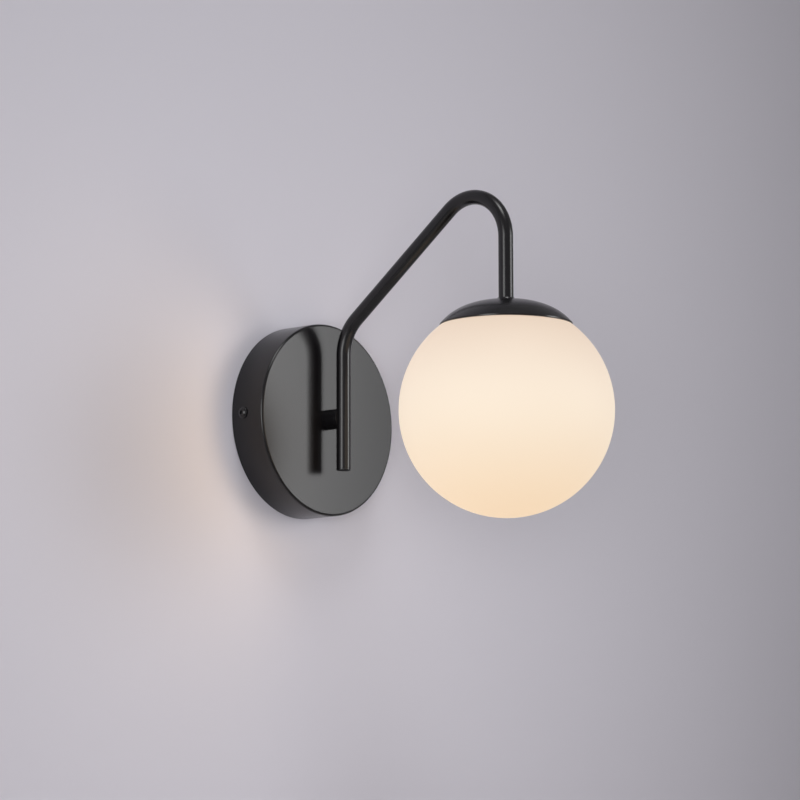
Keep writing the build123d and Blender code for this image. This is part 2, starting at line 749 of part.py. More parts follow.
pin_top_z = holder_base_z + socket_depth + pin_length
slot_reach = 2 * (contact_leaf + contact_room) + pin_wire
clip_top_z = pin_top_z + contact_room + contact_leaf
foot_length = pin_spacing / 2 - wire_offset + wire_diameter / 2
foot_x = pin_spacing / 2 - foot_length / 2
clip_base_z = holder_base_z + socket_depth + contact_room
clip_height = clip_top_z - clip_base_z
with BuildPart() as holder_body:
    with BuildSketch(Plane.XY.offset(holder_base_z)):
        with Locations((0, drop_y)):
            RectangleRounded(holder_width, holder_depth, holder_corner)
    extrude(amount=holder_height)
    with BuildSketch(Plane.XY.offset(holder_base_z)):
        with Locations((0, drop_y)):
            RectangleRounded(socket_length, socket_width, socket_corner)
    extrude(amount=socket_depth, mode=Mode.SUBTRACT)
    # two contact chambers above the socket, each with a wire hole from the top
    with BuildSketch(Plane.XY.offset(holder_base_z + socket_depth)):
        with Locations((-pin_spacing / 2, drop_y), (pin_spacing / 2, drop_y)):
            Rectangle(slot_reach + 2 * contact_room, contact_depth + 2 * contact_room)
    extrude(amount=clip_top_z + contact_room - holder_base_z - socket_depth, mode=Mode.SUBTRACT)
    with BuildSketch(Plane.XY.offset(clip_top_z - contact_leaf - contact_room)):
        with Locations((-foot_x, drop_y), (foot_x, drop_y)):
            Rectangle(foot_length + 2 * contact_room, contact_depth + 2 * contact_room)
    extrude(amount=contact_leaf + 2 * contact_room, mode=Mode.SUBTRACT)
    with BuildSketch(Plane.XY.offset(holder_top_z)):
        with Locations((-wire_offset, drop_y), (wire_offset, drop_y)):
            Circle(wire_diameter / 2 + wire_hole_clearance)
    extrude(amount=-(holder_top_z - clip_top_z), mode=Mode.SUBTRACT)
    with BuildSketch(Plane.YZ.offset(holder_width / 2)):
        with Locations((drop_y, holder_screw_z)):
            Circle(small_screw_diameter / 2)
    extrude(amount=-holder_screw_bite, mode=Mode.SUBTRACT)
    with BuildSketch(Plane.YZ.offset(-holder_width / 2)):
        with Locations((drop_y, holder_screw_z)):
            Circle(small_screw_diameter / 2)
    extrude(amount=holder_screw_bite, mode=Mode.SUBTRACT)
holder_body.part.label = "holder_body"
export_step(holder_body.part, "parts/holder_body.step")

# two clips of spring brass that grip the bulb's pins, each with a foot for its wire
with BuildPart() as holder_contacts:
    for side in (1, -1):
        with BuildSketch(drop_plane):
            with Locations((side * pin_spacing / 2, clip_base_z + clip_height / 2)):
                Rectangle(slot_reach, clip_height)
            with Locations((side * pin_spacing / 2, clip_base_z + (clip_height - contact_leaf) / 2)):
                Rectangle(pin_wire + 2 * contact_room, clip_height - contact_leaf, mode=Mode.SUBTRACT)
            with Locations((side * foot_x, clip_top_z - contact_leaf / 2)):
                Rectangle(foot_length, contact_leaf)
        extrude(amount=contact_depth / 2, both=True)
holder_contacts.part.label = "holder_contacts"
export_step(holder_contacts.part, "parts/holder_contacts.step")

holder_screw_solid = button_screw(
    small_screw_diameter,
    stirrup_thickness + holder_screw_bite - 2 * seat_gap,
    small_screw_head_diameter,
    small_screw_head_height,
    small_screw_key,
)
with BuildPart() as holder_screws:
    for side in (1, -1):
        holder_screw_seat = Plane(
            origin=(side * (stirrup_x + stirrup_thickness), drop_y, holder_screw_z),
            x_dir=(0, 1, 0),
            z_dir=(side, 0, 0),
        )
        add(holder_screw_seat.location * holder_screw_solid)
holder_screws.part.label = "holder_screws"
export_step(holder_screws.part, "parts/holder_screws.step")

# ---------------------------------------- bulb: a plug-in capsule with two looped pins
bulb_seat_z = holder_base_z + socket_depth - rest_gap
bulb_base_z = holder_base_z - rest_gap - bulb_base_height
with BuildPart() as bulb_base:
    with BuildSketch(Plane.XY.offset(holder_base_z - rest_gap)):
        with Locations((0, drop_y)):
            RectangleRounded(
                socket_length - 2 * running_gap,
                socket_width - 2 * running_gap,
                socket_corner - running_gap,
            )
    extrude(amount=bulb_seat_z - holder_base_z + rest_gap)
    with BuildSketch(Plane.XY.offset(bulb_base_z)):
        with Locations((0, drop_y)):
            Circle(bulb_base_diameter / 2)
    extrude(amount=bulb_base_height)
    base_rims = bulb_base.edges().filter_by(GeomType.CIRCLE).group_by(Axis.Z)[0]
    chamfer(base_rims, length=(bulb_base_diameter - bulb_cover_diameter) / 2)
bulb_base.part.label = "bulb_base"
export_step(bulb_base.part, "parts/bulb_base.step")

pin_height = pin_top_z - bulb_seat_z
with BuildPart() as bulb_pins:
    for side in (1, -1):
        with BuildSketch(Plane.YZ.offset(side * pin_spacing / 2 - pin_wire / 2)):
            with Locations((drop_y, (bulb_seat_z + pin_top_z) / 2)):
                Rectangle(pin_width, pin_height)
                Rectangle(pin_width - 2 * pin_wire, pin_height - 2 * pin_wire, mode=Mode.SUBTRACT)
        extrude(amount=pin_wire)
bulb_pins.part.label = "bulb_pins"
export_step(bulb_pins.part, "parts/bulb_pins.step")

cover_radius = bulb_cover_diameter / 2
cover_end_z = bulb_base_z - bulb_cover_length
cover_inner = cover_radius - bulb_cover_wall
with BuildPart() as bulb_cover:
    with BuildSketch(drop_plane):
        with BuildLine():
            Line((cover_radius, bulb_base_z), (cover_radius, cover_end_z + cover_radius))
            RadiusArc((cover_radius, cover_end_z + cover_radius), (0, cover_end_z), cover_radius)
            Line((0, cover_end_z), (0, cover_end_z + bulb_cover_wall))
            RadiusArc(
                (0, cover_end_z + bulb_cover_wall),
                (cover_inner, cover_end_z + cover_radius),
                -cover_inner,
            )
            Line((cover_inner, cover_end_z + cover_radius), (cover_inner, bulb_base_z))
            Line((cover_inner, bulb_base_z), (cover_radius, bulb_base_z))
        make_face()
    revolve(axis=drop_axis)
bulb_cover.part.label = "bulb_cover"
export_step(bulb_cover.part, "parts/bulb_cover.step")

core_length = bulb_cover_length - 2 * cover_radius
with BuildPart() as led_core:
    with BuildSketch(Plane.XY.offset(bulb_base_z)):
        with Locations((0, drop_y)):
            RegularPolygon(radius=led_core_diameter / 2, side_count=8)
    extrude(amount=-core_length)
led_core.part.label = "led_core"
export_step(led_core.part, "parts/led_core.step")

# ---------------------------------------- wires from the terminal block to the lampholder
wire_start_z = block_base + block_length * 0.4
wire_out_z = block_base - lamp_wire_drop
wire_mouth_y = nipple_inner_y + wire_mouth_depth


def lamp_wire(pole_x, offset):
    """One insulated wire: terminal pole, nipple, stub, arm tube and down to its contact."""
    with BuildPart() as wire:
        with BuildLine():
            route = FilletPolyline(
                (pole_x, -pole_setback, wire_start_z),
                (pole_x, -pole_setback, wire_out_z),
                (offset, wire_mouth_y, 0),
                (offset, leg_y, 0),
                (offset, leg_y, lower_corner_rise),
                (offset, drop_y, upper_corner_rise),
                (offset, drop_y, clip_top_z + seat_gap),
                radius=[wire_bend, wire_bend, wire_turn_radius, bend_radius, bend_radius],
            )
        with BuildSketch(Plane(route @ 0, z_dir=route % 0)):
            Circle(wire_diameter / 2)
        sweep()
    return wire.part


live_wire = lamp_wire(pole_pitch, wire_offset)
live_wire.label = "live_wire"
export_step(live_wire, "parts/live_wire.step")

neutral_wire = lamp_wire(0, -wire_offset)
neutral_wire.label = "neutral_wire"
export_step(neutral_wire, "parts/neutral_wire.step")

with BuildPart() as earth_wire:
    with BuildLine():
        earth_route = FilletPolyline(
            (-pole_pitch, -pole_setback, wire_start_z),
            (-pole_pitch, -pole_setback, block_base - earth_wire_drop),
            (earth_screw_place[0], earth_wire_y, lug_barrel_z + lug_barrel_length / 2 + earth_wire_rise),
            (earth_screw_place[0], earth_wire_y, lug_barrel_z - lug_barrel_length / 2),
            radius=wire_bend,
        )
    with BuildSketch(Plane(earth_route @ 0, z_dir=earth_route % 0)):
        Circle(wire_diameter / 2)
    sweep()
earth_wire.part.label = "earth_wire"
export_step(earth_wire.part, "parts/earth_wire.step")
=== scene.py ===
# %% [markdown]
# # A globe wall sconce
# A round canopy hides the wall fixing, one bent tube stands off it, and the tube's end carries an
# opal glass globe under a low domed cap. The construction model gives every size and place. This
# lesson dresses it: each visible piece is turned, bent or bevelled again with smoother forms, and
# each real finish gets one material.
#
# The model is loaded first, because every piece has to sit where the construction says. Blender
# works in metres here, so sizes in millimetres are multiplied by MM.

from math import asin, atan2, cos, pi, radians, sin, sqrt, tan, tau

import bmesh
import bpy
from bmesh.types import BMEdge, BMVert
from mathutils import Matrix, Vector


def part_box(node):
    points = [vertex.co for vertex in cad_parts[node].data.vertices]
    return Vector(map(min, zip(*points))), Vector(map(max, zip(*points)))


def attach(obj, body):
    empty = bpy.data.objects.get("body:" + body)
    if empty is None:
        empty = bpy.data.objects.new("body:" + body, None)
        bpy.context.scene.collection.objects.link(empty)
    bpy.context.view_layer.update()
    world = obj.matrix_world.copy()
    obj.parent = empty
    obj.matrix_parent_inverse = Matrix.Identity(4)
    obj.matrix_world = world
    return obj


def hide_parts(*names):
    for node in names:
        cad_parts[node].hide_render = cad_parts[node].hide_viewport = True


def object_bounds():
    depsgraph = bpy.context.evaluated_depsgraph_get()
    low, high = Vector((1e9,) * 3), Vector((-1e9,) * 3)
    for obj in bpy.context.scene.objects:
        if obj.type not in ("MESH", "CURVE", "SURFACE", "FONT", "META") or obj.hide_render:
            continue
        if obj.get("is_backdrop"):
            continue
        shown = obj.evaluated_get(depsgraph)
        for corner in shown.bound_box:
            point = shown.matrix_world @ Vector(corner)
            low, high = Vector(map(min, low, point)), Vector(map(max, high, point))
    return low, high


MM = 0.001
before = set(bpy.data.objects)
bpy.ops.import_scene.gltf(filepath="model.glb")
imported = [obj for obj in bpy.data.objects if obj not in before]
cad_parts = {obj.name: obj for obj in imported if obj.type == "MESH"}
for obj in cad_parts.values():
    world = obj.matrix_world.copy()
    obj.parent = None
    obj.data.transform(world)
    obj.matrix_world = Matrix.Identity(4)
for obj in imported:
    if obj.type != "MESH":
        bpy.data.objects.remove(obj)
cad_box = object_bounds()

# %% [markdown]
# The canopy's axis is the wall's normal, and the globe hangs on a vertical axis in front of it. A
# turned piece is made on the Z axis and then put on its own axis, so two matrices are enough to
# place them all.

# %% Places and sizes read from the construction
canopy_low, canopy_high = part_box("canopy")
tube_low, tube_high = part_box("arm_tube")
globe_low, globe_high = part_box("glass_globe")
cap_low, cap_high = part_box("shade_cap")
ring_low, ring_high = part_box("gallery_ring")

drop_y = (globe_low.y + globe_high.y) / 2
tube_radius = tube_high.x
leg_y = tube_high.y - tube_radius
ON_CANOPY_AXIS = Matrix.Rotation(radians(90), 4, "X")
ON_DROP_AXIS = Matrix.Translation((0, drop_y, 0))
print("globe axis at y", round(drop_y / MM, 2), "mm, lower leg at y", round(leg_y / MM, 2), "mm")

# %% [markdown]
# ## Tools for turned pieces
# Most of the lamp is spun, turned or drawn: canopy, cap, glass, nuts, washers. All of these are a
# section swept once round an axis. A curve object or a Screw modifier could do it, but a small pen
# that draws the section edge by edge keeps each wall thickness and corner radius in plain sight.
# Corners are rounded by a vertex bevel, which gives a true arc, and an arc is itself a spin of one
# vertex.


# %% A pen that draws a section and turns it
ROUND_STEPS = 144  # facets of a full turn, too many to show on a piece as wide as the cap
CORNER_STEPS = 6


class Section:
    """The section of a turned piece: x is out from the axis, z along it."""

    def __init__(self, x, z):
        self.bm = bmesh.new()
        self.first = self.last = self.bm.verts.new((x, 0, z))
        self.corners = []

    def line(self, x, z, corner=0.0, parts=1):
        start, end = self.last.co.copy(), Vector((x, 0, z))
        for part in range(parts):
            vert = self.bm.verts.new(start.lerp(end, (part + 1) / parts))
            self.bm.edges.new((self.last, vert))
            self.last = vert
        if corner:
            self.corners.append((self.last, corner))
        return self

    def arc(self, x, z, leaving=None, arriving=None, steps=24, corner=0.0):
        """Bends to a place on the circle that leaves the last one, or arrives there, that way."""
        start = self.last.co
        chord = Vector((x, 0, z)) - start
        if arriving:
            away = -Vector((arriving[0], 0, arriving[1])).normalized().reflect(chord.normalized())
        else:
            away = Vector((leaving[0], 0, leaving[1])).normalized()
        to_centre = (chord - chord.project(away)).normalized()
        radius = chord.length_squared / (2 * chord.dot(to_centre))
        made = bmesh.ops.spin(
            self.bm,
            geom=[self.last],
            cent=start + to_centre * radius,
            axis=away.cross(to_centre),
            angle=2 * away.angle(chord),
            steps=steps,
        )
        self.last = made["geom_last"][0]
        if corner:
            self.corners.append((self.last, corner))
        return self

    def close(self, corner=0.0):
        self.bm.edges.new((self.last, self.first))
        if corner:
            self.corners.append((self.first, corner))
        return self

    def turned(self, steps=ROUND_STEPS):
        for vert, radius in self.corners:
            arms = [(edge.other_vert(vert).co - vert.co).normalized() for edge in vert.link_edges]
            bmesh.ops.bevel(
                self.bm,
                geom=[vert],
                offset=radius / tan(arms[0].angle(arms[1]) / 2),
                offset_type="OFFSET",
                affect="VERTICES",
                segments=CORNER_STEPS,
                profile=0.5,
                material=-1,
            )
        bmesh.ops.spin(
            self.bm,
            geom=self.bm.verts[:] + self.bm.edges[:],
            cent=(0, 0, 0),
            axis=(0, 0, 1),
            angle=tau,
            steps=steps,
            use_merge=True,
        )
        bmesh.ops.remove_doubles(self.bm, verts=self.bm.verts, dist=1e-7)
        bmesh.ops.dissolve_degenerate(self.bm, edges=self.bm.edges, dist=1e-8)
        bmesh.ops.recalc_face_normals(self.bm, faces=self.bm.faces)
        return self.bm


print("a full turn has", ROUND_STEPS, "facets, a rounded corner", CORNER_STEPS)

# %% [markdown]
# ## Handing a mesh over
# Each piece becomes an object at the origin that rides on one body of the construction, stands for
# the node it was made from, and says which finish it has. Flat faces and round ones meet on one
# mesh, so edges past thirty degrees stay sharp, and weighted normals keep the flats flat.

# %% Finishes by slot, and one way to hand over a piece
SHARP = radians(30)
finishes = {}


def new_object(name, data):
    """An object at the origin, in the scene."""
    made = bpy.data.objects.new(name, data)
    bpy.context.scene.collection.objects.link(made)
    return made


def hand_over(bm, name, body, slot, nodes=(), place=None):
    bmesh.ops.transform(bm, matrix=place or Matrix.Identity(4), verts=bm.verts)
    mesh = bpy.data.meshes.new(name)
    bm.to_mesh(mesh)
    bm.free()
    mesh.shade_smooth()
    mesh.set_sharp_from_angle(angle=SHARP)
    mesh.materials.append(finishes[slot])
    piece = new_object(name, mesh)
    weighted = piece.modifiers.new("flats stay flat", "WEIGHTED_NORMAL")
    weighted.keep_sharp = True
    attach(piece, body)
    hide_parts(*nodes)
    print(name, "has", len(mesh.polygons), "faces and rides on", body)
    return piece


print("edges past", round(SHARP, 3), "radians stay sharp")

# %% [markdown]
# # Finishes
# Every material starts from what the real one is and how its surface was made. The node trees are
# short, and one function adds a node with its settings and links. Colours are written as sRGB hex
# values and turned to linear here.


# %% Colours and nodes
def linear(hex_colour):
    """An sRGB hex value as a linear colour with alpha."""
    shares = [int(hex_colour[i : i + 2], 16) / 255 for i in (1, 3, 5)]
    return (*[s / 12.92 if s <= 0.04045 else ((s + 0.055) / 1.055) ** 2.4 for s in shares], 1.0)


def add(tree, kind, inputs=None, outputs=None, **settings):
    """Adds a node. An input is a value or another node's output, and an output goes to a socket."""
    node = tree.nodes.new(kind)
    for name, value in settings.items():
        setattr(node, name, value)
    for socket, value in (inputs or {}).items():
        if isinstance(value, bpy.types.NodeSocket):
            tree.links.new(value, node.inputs[socket])
        else:
            node.inputs[socket].default_value = value
    for socket, goal in (outputs or {}).items():
        tree.links.new(node.outputs[socket], goal)
    return node


print("#808080 is", round(linear("#808080")[0], 3), "as a linear value")

# %% [markdown]
# What differs from finish to finish is the pattern in the surface, and how it shows: as relief, in
# the gloss or in the colour. So one function makes a finish, and another lets a pattern mark it.
# Patterns read Object coordinates, which are metres, so a pattern of so many millimetres has a
# scale of 1000 over that number.


# %% Finishes and the marks on them
def per_mm(size):
    """The scale, on Object coordinates, of a pattern that repeats after so many millimetres."""
    return 1 / (size * MM)


def new_material(name, hex_colour, roughness, **sockets):
    """A material with one shader on it. Sockets are set as they are on the shader itself."""
    material = bpy.data.materials.new(name)
    material.use_nodes = True
    shader = next(node for node in material.node_tree.nodes if node.type == "BSDF_PRINCIPLED")
    shader.inputs["Base Color"].default_value = linear(hex_colour)
    shader.inputs["Roughness"].default_value = roughness
    for socket, value in sockets.items():
        shader.inputs[socket.replace("_", " ")].default_value = value
    return material, material.node_tree, shader


def new_finish(slot, name, hex_colour, roughness, **sockets):
    """The material of a slot, with the coordinates that its patterns read."""
    finishes[slot], tree, shader = new_material(name, hex_colour, roughness, **sockets)
    return tree, shader, add(tree, "ShaderNodeTexCoord").outputs["Object"]


def mark(tree, shader, pattern, height=None, gloss=None, tones=None):
    """Lets a pattern show: as relief in millimetres, in the roughness, or in two colours."""
    if height:
        bump = {"Height": pattern, "Distance": height * MM}
        add(tree, "ShaderNodeBump", bump, {"Normal": shader.inputs["Normal"]})
    if gloss:
        span = {"From Min": 0.3, "From Max": 0.7, "To Min": gloss[0], "To Max": gloss[1]}
        goal = {"Result": shader.inputs["Roughness"]}
        add(tree, "ShaderNodeMapRange", {"Value": pattern, **span}, goal)
    if tones:  # the sockets of a Mix node have numbers here, because their names repeat
        mixed = {0: pattern, 6: linear(tones[0]), 7: linear(tones[1])}
        add(tree, "ShaderNodeMix", mixed, {2: shader.inputs["Base Color"]}, data_type="RGBA")


def grained(slot, name, hex_colour, roughness, size, marks, detail=2.0, **sockets):
    """A finish with one grain, so many millimetres wide, and the marks that it leaves."""
    tree, shader, place = new_finish(slot, name, hex_colour, roughness, **sockets)
    grain = {"Vector": place, "Scale": per_mm(size), "Detail": detail}
    mark(tree, shader, add(tree, "ShaderNodeTexNoise", grain).outputs["Fac"], **marks)
    return tree, shader, place


print("a pattern of 2 mm has a scale of", per_mm(2))

# %% [markdown]
# ## Black powder coat
# Canopy, stub, arm and cap are steel with a fine black powder coat. Powder melts into a film that
# never quite levels: long low waves, known as orange peel, under a fine grain. Without them the
# canopy's face would look like glass. Both go into the bump at their real widths, but only a
# micron or two high, because the coat is a smooth one, and a higher grain sparkles under a strong
# lamp. The gloss wanders a little with the waves.

# %% Black powder coat
PEEL_WAVE, PEEL_HEIGHT = 1.5, 0.0015
PEEL_GRAIN, GRAIN_SHARE = 0.3, 0.22
tree, shader, place = new_finish(
    "black_powder_coat", "black powder coat on steel", "#0f0e10", 0.23, Specular_IOR_Level=0.46
)
wave_pattern = {"Vector": place, "Scale": per_mm(PEEL_WAVE), "Detail": 2.0}
waves = add(tree, "ShaderNodeTexNoise", wave_pattern).outputs["Fac"]
grain_pattern = {"Vector": place, "Scale": per_mm(PEEL_GRAIN), "Detail": 3.0}
grain = add(tree, "ShaderNodeTexNoise", grain_pattern).outputs["Fac"]
layers = {0: grain, 1: GRAIN_SHARE, 2: waves}
film = add(tree, "ShaderNodeMath", layers, operation="MULTIPLY_ADD").outputs["Value"]
mark(tree, shader, waves, gloss=(0.22, 0.25))
mark(tree, shader, film, height=PEEL_HEIGHT)
print("powder coat: waves of", PEEL_WAVE, "mm under a grain of", PEEL_GRAIN, "mm")

# %% [markdown]
# ## Zinc-plated steel
# The parts that the canopy and cap hide are stamped or turned steel with bright zinc plate: a cool
# grey metal with drawing lines left from the sheet, and a faint blue and straw bloom from the
# passivation bath. Real drawing lines are finer, and are drawn a quarter of a millimetre apart so
# that close views show them.

# %% Zinc-plated steel
SHEET_LINE, LINE_STRETCH, LINE_HEIGHT = 0.25, 25, 0.003
BLOOM = 9.0
tree, shader, place = new_finish(
    "zinc_steel", "bright zinc plate on steel", "#bfc2c4", 0.34, Metallic=1.0
)
along = add(tree, "ShaderNodeMapping", {"Vector": place, "Scale": (1 / LINE_STRETCH, 1, 1)})
drawn = {"Vector": along.outputs["Vector"], "Scale": per_mm(SHEET_LINE), "Detail": 2.0}
lines = add(tree, "ShaderNodeTexNoise", drawn).outputs["Fac"]
clouds = {"Vector": place, "Scale": per_mm(BLOOM), "Detail": 3.0}
bloom = add(tree, "ShaderNodeTexNoise", clouds).outputs["Fac"]
mark(tree, shader, bloom, tones=("#b4bcc6", "#cbc7b8"))
mark(tree, shader, lines, height=LINE_HEIGHT, gloss=(0.28, 0.42))
print("zinc plate: drawing lines of", SHEET_LINE, "mm")

# %% [markdown]
# ## Brass
# The nipple, the clamp screws and the contacts carry threads or current, so they are brass, turned
# or stamped and left bare. It dulls unevenly where it was handled: the gloss drops and the yellow
# turns browner.

# %% Brass
HANDLING = 5.0
worn = {"gloss": (0.22, 0.42), "tones": ("#d6b56e", "#a98447")}
grained("brass", "bare brass", "#c9a560", 0.3, HANDLING, worn, detail=4.0, Metallic=1.0)
print("brass: dulled in patches of", HANDLING, "mm")

# %% [markdown]
# ## Opal glass, lit from inside
# The globe is blown opal glass with an acid-etched skin. Its milky layer scatters the lamp's light
# until the whole ball glows, almost evenly: a little less under the cap, where the neck shades it,
# and a little warmer towards the bottom. True scattering through a hollow ball is slow and noisy,
# so that light is painted on the surface itself as a glow by the height on the ball, with painted
# shade under the cap, and the etched skin keeps a soft sheen over it. Real etching is finer than a
# hair, and is drawn a little coarser here so that close views show it.

# %% Opal glass
globe_radius = (globe_high.y - globe_low.y) / 2
globe_middle = globe_low.z + globe_radius
ETCH_GRAIN, ETCH_HEIGHT = 0.4, 0.002
GLOW_STRENGTH = 0.99
# colours of the painted glow from bottom to top: warmer low down, darker under the cap as painted
# shade
GLOW = ((0.0, "#edcfab"), (0.3, "#ecd9c2"), (0.55, "#eddecc"), (0.8, "#dfcab8"), (1.0, "#d3bda8"))
tree, shader, place = grained(
    "opal_glass", "etched opal glass, lit", "#6b665d", 0.62, ETCH_GRAIN, {"height": ETCH_HEIGHT},
    Specular_IOR_Level=0.3, Emission_Strength=GLOW_STRENGTH,
)
height = add(tree, "ShaderNodeSeparateXYZ", {"Vector": place}).outputs["Z"]
poles = {"From Min": globe_middle - globe_radius, "From Max": globe_middle + globe_radius}
level = add(tree, "ShaderNodeMapRange", {"Value": height, **poles}).outputs["Result"]
goal = {"Color": shader.inputs["Emission Color"]}
ramp = add(tree, "ShaderNodeValToRGB", {"Fac": level}, goal).color_ramp
ramp.interpolation = "B_SPLINE"
for at, _ in GLOW[1:-1]:
    ramp.elements.new(at)
for stop, (at, colour) in zip(ramp.elements, GLOW):
    stop.position, stop.color = at, linear(colour)
print("opal glass: middle of the globe at z", round(globe_middle / MM, 2), "mm")

# %% [markdown]
# ## Rubber, ceramic and plastics
# Small parts inside keep the lamp safe: a silicone gasket under the glass, a steatite lampholder,
# a terminal block of natural nylon. Each is one plain colour to the eye at arm's length, and each
# differs by its surface: silicone is dull and dusty, steatite has a dry speckle, moulded nylon is
# waxy and lets light in a little.

# %% Silicone, steatite and nylon
DUST, SPECK, MOULD_GRAIN = 2.5, 0.5, 0.35
dulled = {"gloss": (0.48, 0.66)}
speckled = {"height": 0.02, "tones": ("#ded6c4", "#f0ebe0")}
sparked = {"height": 0.008}
grained("silicone", "moulded silicone rubber", "#d8d4ca", 0.55, DUST, dulled, detail=4.0,
        Subsurface_Weight=0.15, Subsurface_Scale=0.8 * MM)
grained("ceramic", "pressed steatite", "#e9e3d6", 0.5, SPECK, speckled, detail=5.0)
for slot, name, colour in (
    ("polyamide", "natural nylon", "#dedccf"),
    ("black_polyamide", "black nylon", "#1c1c1e"),
):
    grained(slot, name, colour, 0.42, MOULD_GRAIN, sparked,
            Subsurface_Weight=0.1, Subsurface_Scale=0.6 * MM)
print("finishes so far:", sorted(finishes))

# %% [markdown]
# ## The lamp's own bulb
# A plug-in capsule: white polycarbonate base, frosted cover with its light boards behind it, and
# two nickelled pins. The cover glows warm like the globe. The boards carry rows of yellow phosphor
# dots, two millimetres apart, drawn with a cell pattern whose cells have no jitter.

# %% Bulb plastics, light boards and pins
SPARK_GRAIN, FROST_GRAIN, WIRE_GRAIN = 0.4, 0.5, 0.3
DOT_PITCH = 2.0
grained("bulb_plastic", "white polycarbonate", "#e6e3da", 0.34, SPARK_GRAIN, {"height": 0.006})
grained("bulb_diffuser", "frosted polycarbonate, lit", "#efe6d2", 0.5, FROST_GRAIN,
        {"height": 0.004}, Emission_Color=linear("#f6e3c0"), Emission_Strength=0.85)

tree, shader, place = new_finish("led_board", "light board with phosphor dots", "#e9e6dd", 0.4)
grid = {"Vector": place, "Scale": per_mm(DOT_PITCH), "Randomness": 0.0}
from_middle = add(tree, "ShaderNodeTexVoronoi", grid).outputs["Distance"]
rim = {"Value": from_middle, "From Min": 0.34, "From Max": 0.3}
dot = add(tree, "ShaderNodeMapRange", rim).outputs["Result"]
mark(tree, shader, dot, tones=("#e9e6dd", "#e8c03a"))

grained("nickel_wire", "nickel-plated wire", "#cbc5b8", 0.22, WIRE_GRAIN,
        {"gloss": (0.16, 0.3)}, Metallic=1.0)
print("phosphor dots every", DOT_PITCH, "mm")

# %% [markdown]
# ## Wire insulation
# Single cores with PVC insulation in the usual three colours. The earth core is green with a
# yellow stripe on each side of it. Its wire runs almost straight up beside the bracket, so a
# stripe that faces the wall and the room is a band in X about the wire's middle line, which leans
# by half a millimetre from end to end.

# %% Insulation
DIE_GRAIN, DIE_MARKS = 0.6, {"height": 0.006}
GREEN, YELLOW = "#1f7a3c", "#e0c22e"
STRIPE_WIDTH = 0.8 * MM
STRIPE_MIDDLE, STRIPE_LEAN = -9.09 * MM, 0.018
grained("brown_insulation", "brown PVC insulation", "#5b3420", 0.38, DIE_GRAIN, DIE_MARKS)
grained("blue_insulation", "blue PVC insulation", "#235a9c", 0.38, DIE_GRAIN, DIE_MARKS)
tree, shader, place = grained(
    "earth_insulation", "green and yellow PVC insulation", GREEN, 0.38, DIE_GRAIN, DIE_MARKS
)
spot = add(tree, "ShaderNodeSeparateXYZ", {"Vector": place}).outputs
upright = {0: spot["Z"], 1: STRIPE_LEAN, 2: spot["X"]}
across = add(tree, "ShaderNodeMath", upright, operation="MULTIPLY_ADD").outputs["Value"]
to_middle = {0: across, 1: STRIPE_MIDDLE}
off_middle = add(tree, "ShaderNodeMath", to_middle, operation="SUBTRACT").outputs["Value"]
beside = add(tree, "ShaderNodeMath", {0: off_middle}, operation="ABSOLUTE").outputs["Value"]
soft_edge = {"From Min": 0.55 * STRIPE_WIDTH, "From Max": 0.45 * STRIPE_WIDTH}
band = add(tree, "ShaderNodeMapRange", {"Value": beside, **soft_edge}).outputs["Result"]
mark(tree, shader, band, tones=(GREEN, YELLOW))
print("all", len(finishes), "finishes made")

# %% [markdown]
# # Canopy
# A pan spun from thin sheet: flat face, a small radius at its edge, a straight side that just
# meets the wall. A cylinder with a bevel would look alike from the front, but the canopy is open
# behind and its edge catches a thin line of light, so it is drawn as a wall of real thickness
# whose inner radius follows the outer one.

# %% The canopy's wall, turned on its axis
canopy_radius = canopy_high.x
canopy_depth = -canopy_low.y
CANOPY_WALL = 1.2 * MM
CANOPY_EDGE = 1.8 * MM
NIPPLE_HOLE = 5.0 * MM
CANOPY_STEPS = 192
inner_radius, inner_depth = canopy_radius - CANOPY_WALL, canopy_depth - CANOPY_WALL
canopy = (
    Section(NIPPLE_HOLE, canopy_depth)
    .line(canopy_radius, canopy_depth, corner=CANOPY_EDGE)
    .line(canopy_radius, 0, corner=0.3 * MM)
    .line(inner_radius, 0, corner=0.3 * MM)
    .line(inner_radius, inner_depth, corner=CANOPY_EDGE - CANOPY_WALL)
    .line(NIPPLE_HOLE, inner_depth)
    .close()
    .turned(CANOPY_STEPS)
)
print("canopy:", len(canopy.faces), "faces")

# %% [markdown]
# Its side has a hole for each of the two screws that hold it to the bracket. A hole across a
# curved wall is quickest as a Boolean with a round cutter, so a small helper drills any piece that
# way and clears up after.


# %% Drilling, and the canopy handed over
SCREW_STEPS = 48


def facing(place, direction):
    """The matrix that stands a piece made along Z at a place, its top in a direction."""
    turn = Vector((0, 0, 1)).rotation_difference(Vector(direction))
    return Matrix.Translation(place) @ turn.to_matrix().to_4x4()


def drilled(bm, radius, middle, direction, length):
    """The piece with one round hole, as long as the drill goes."""
    bit = bmesh.new()
    bmesh.ops.create_cone(
        bit, cap_ends=True, segments=SCREW_STEPS, radius1=radius, radius2=radius, depth=length,
        matrix=facing(middle, direction),
    )
    blanks = []
    for part in (bm, bit):
        blanks.append(new_object("blank", bpy.data.meshes.new("blank")))
        part.to_mesh(blanks[-1].data)
        part.free()
    hole = blanks[0].modifiers.new("hole", "BOOLEAN")
    hole.object = blanks[1]
    hole.solver = "EXACT"
    result = bmesh.new()
    result.from_object(blanks[0], bpy.context.evaluated_depsgraph_get())
    for blank in blanks:
        bpy.data.objects.remove(blank)
    return result


SIDE_SCREW_SETBACK, SIDE_HOLE = 10.7 * MM, 2.3 * MM
through_both = 2.2 * canopy_radius
canopy = drilled(canopy, SIDE_HOLE, (0, 0, SIDE_SCREW_SETBACK), (1, 0, 0), through_both)
hand_over(canopy, "canopy_pan", "fixture", "black_powder_coat", ["canopy"], ON_CANOPY_AXIS)

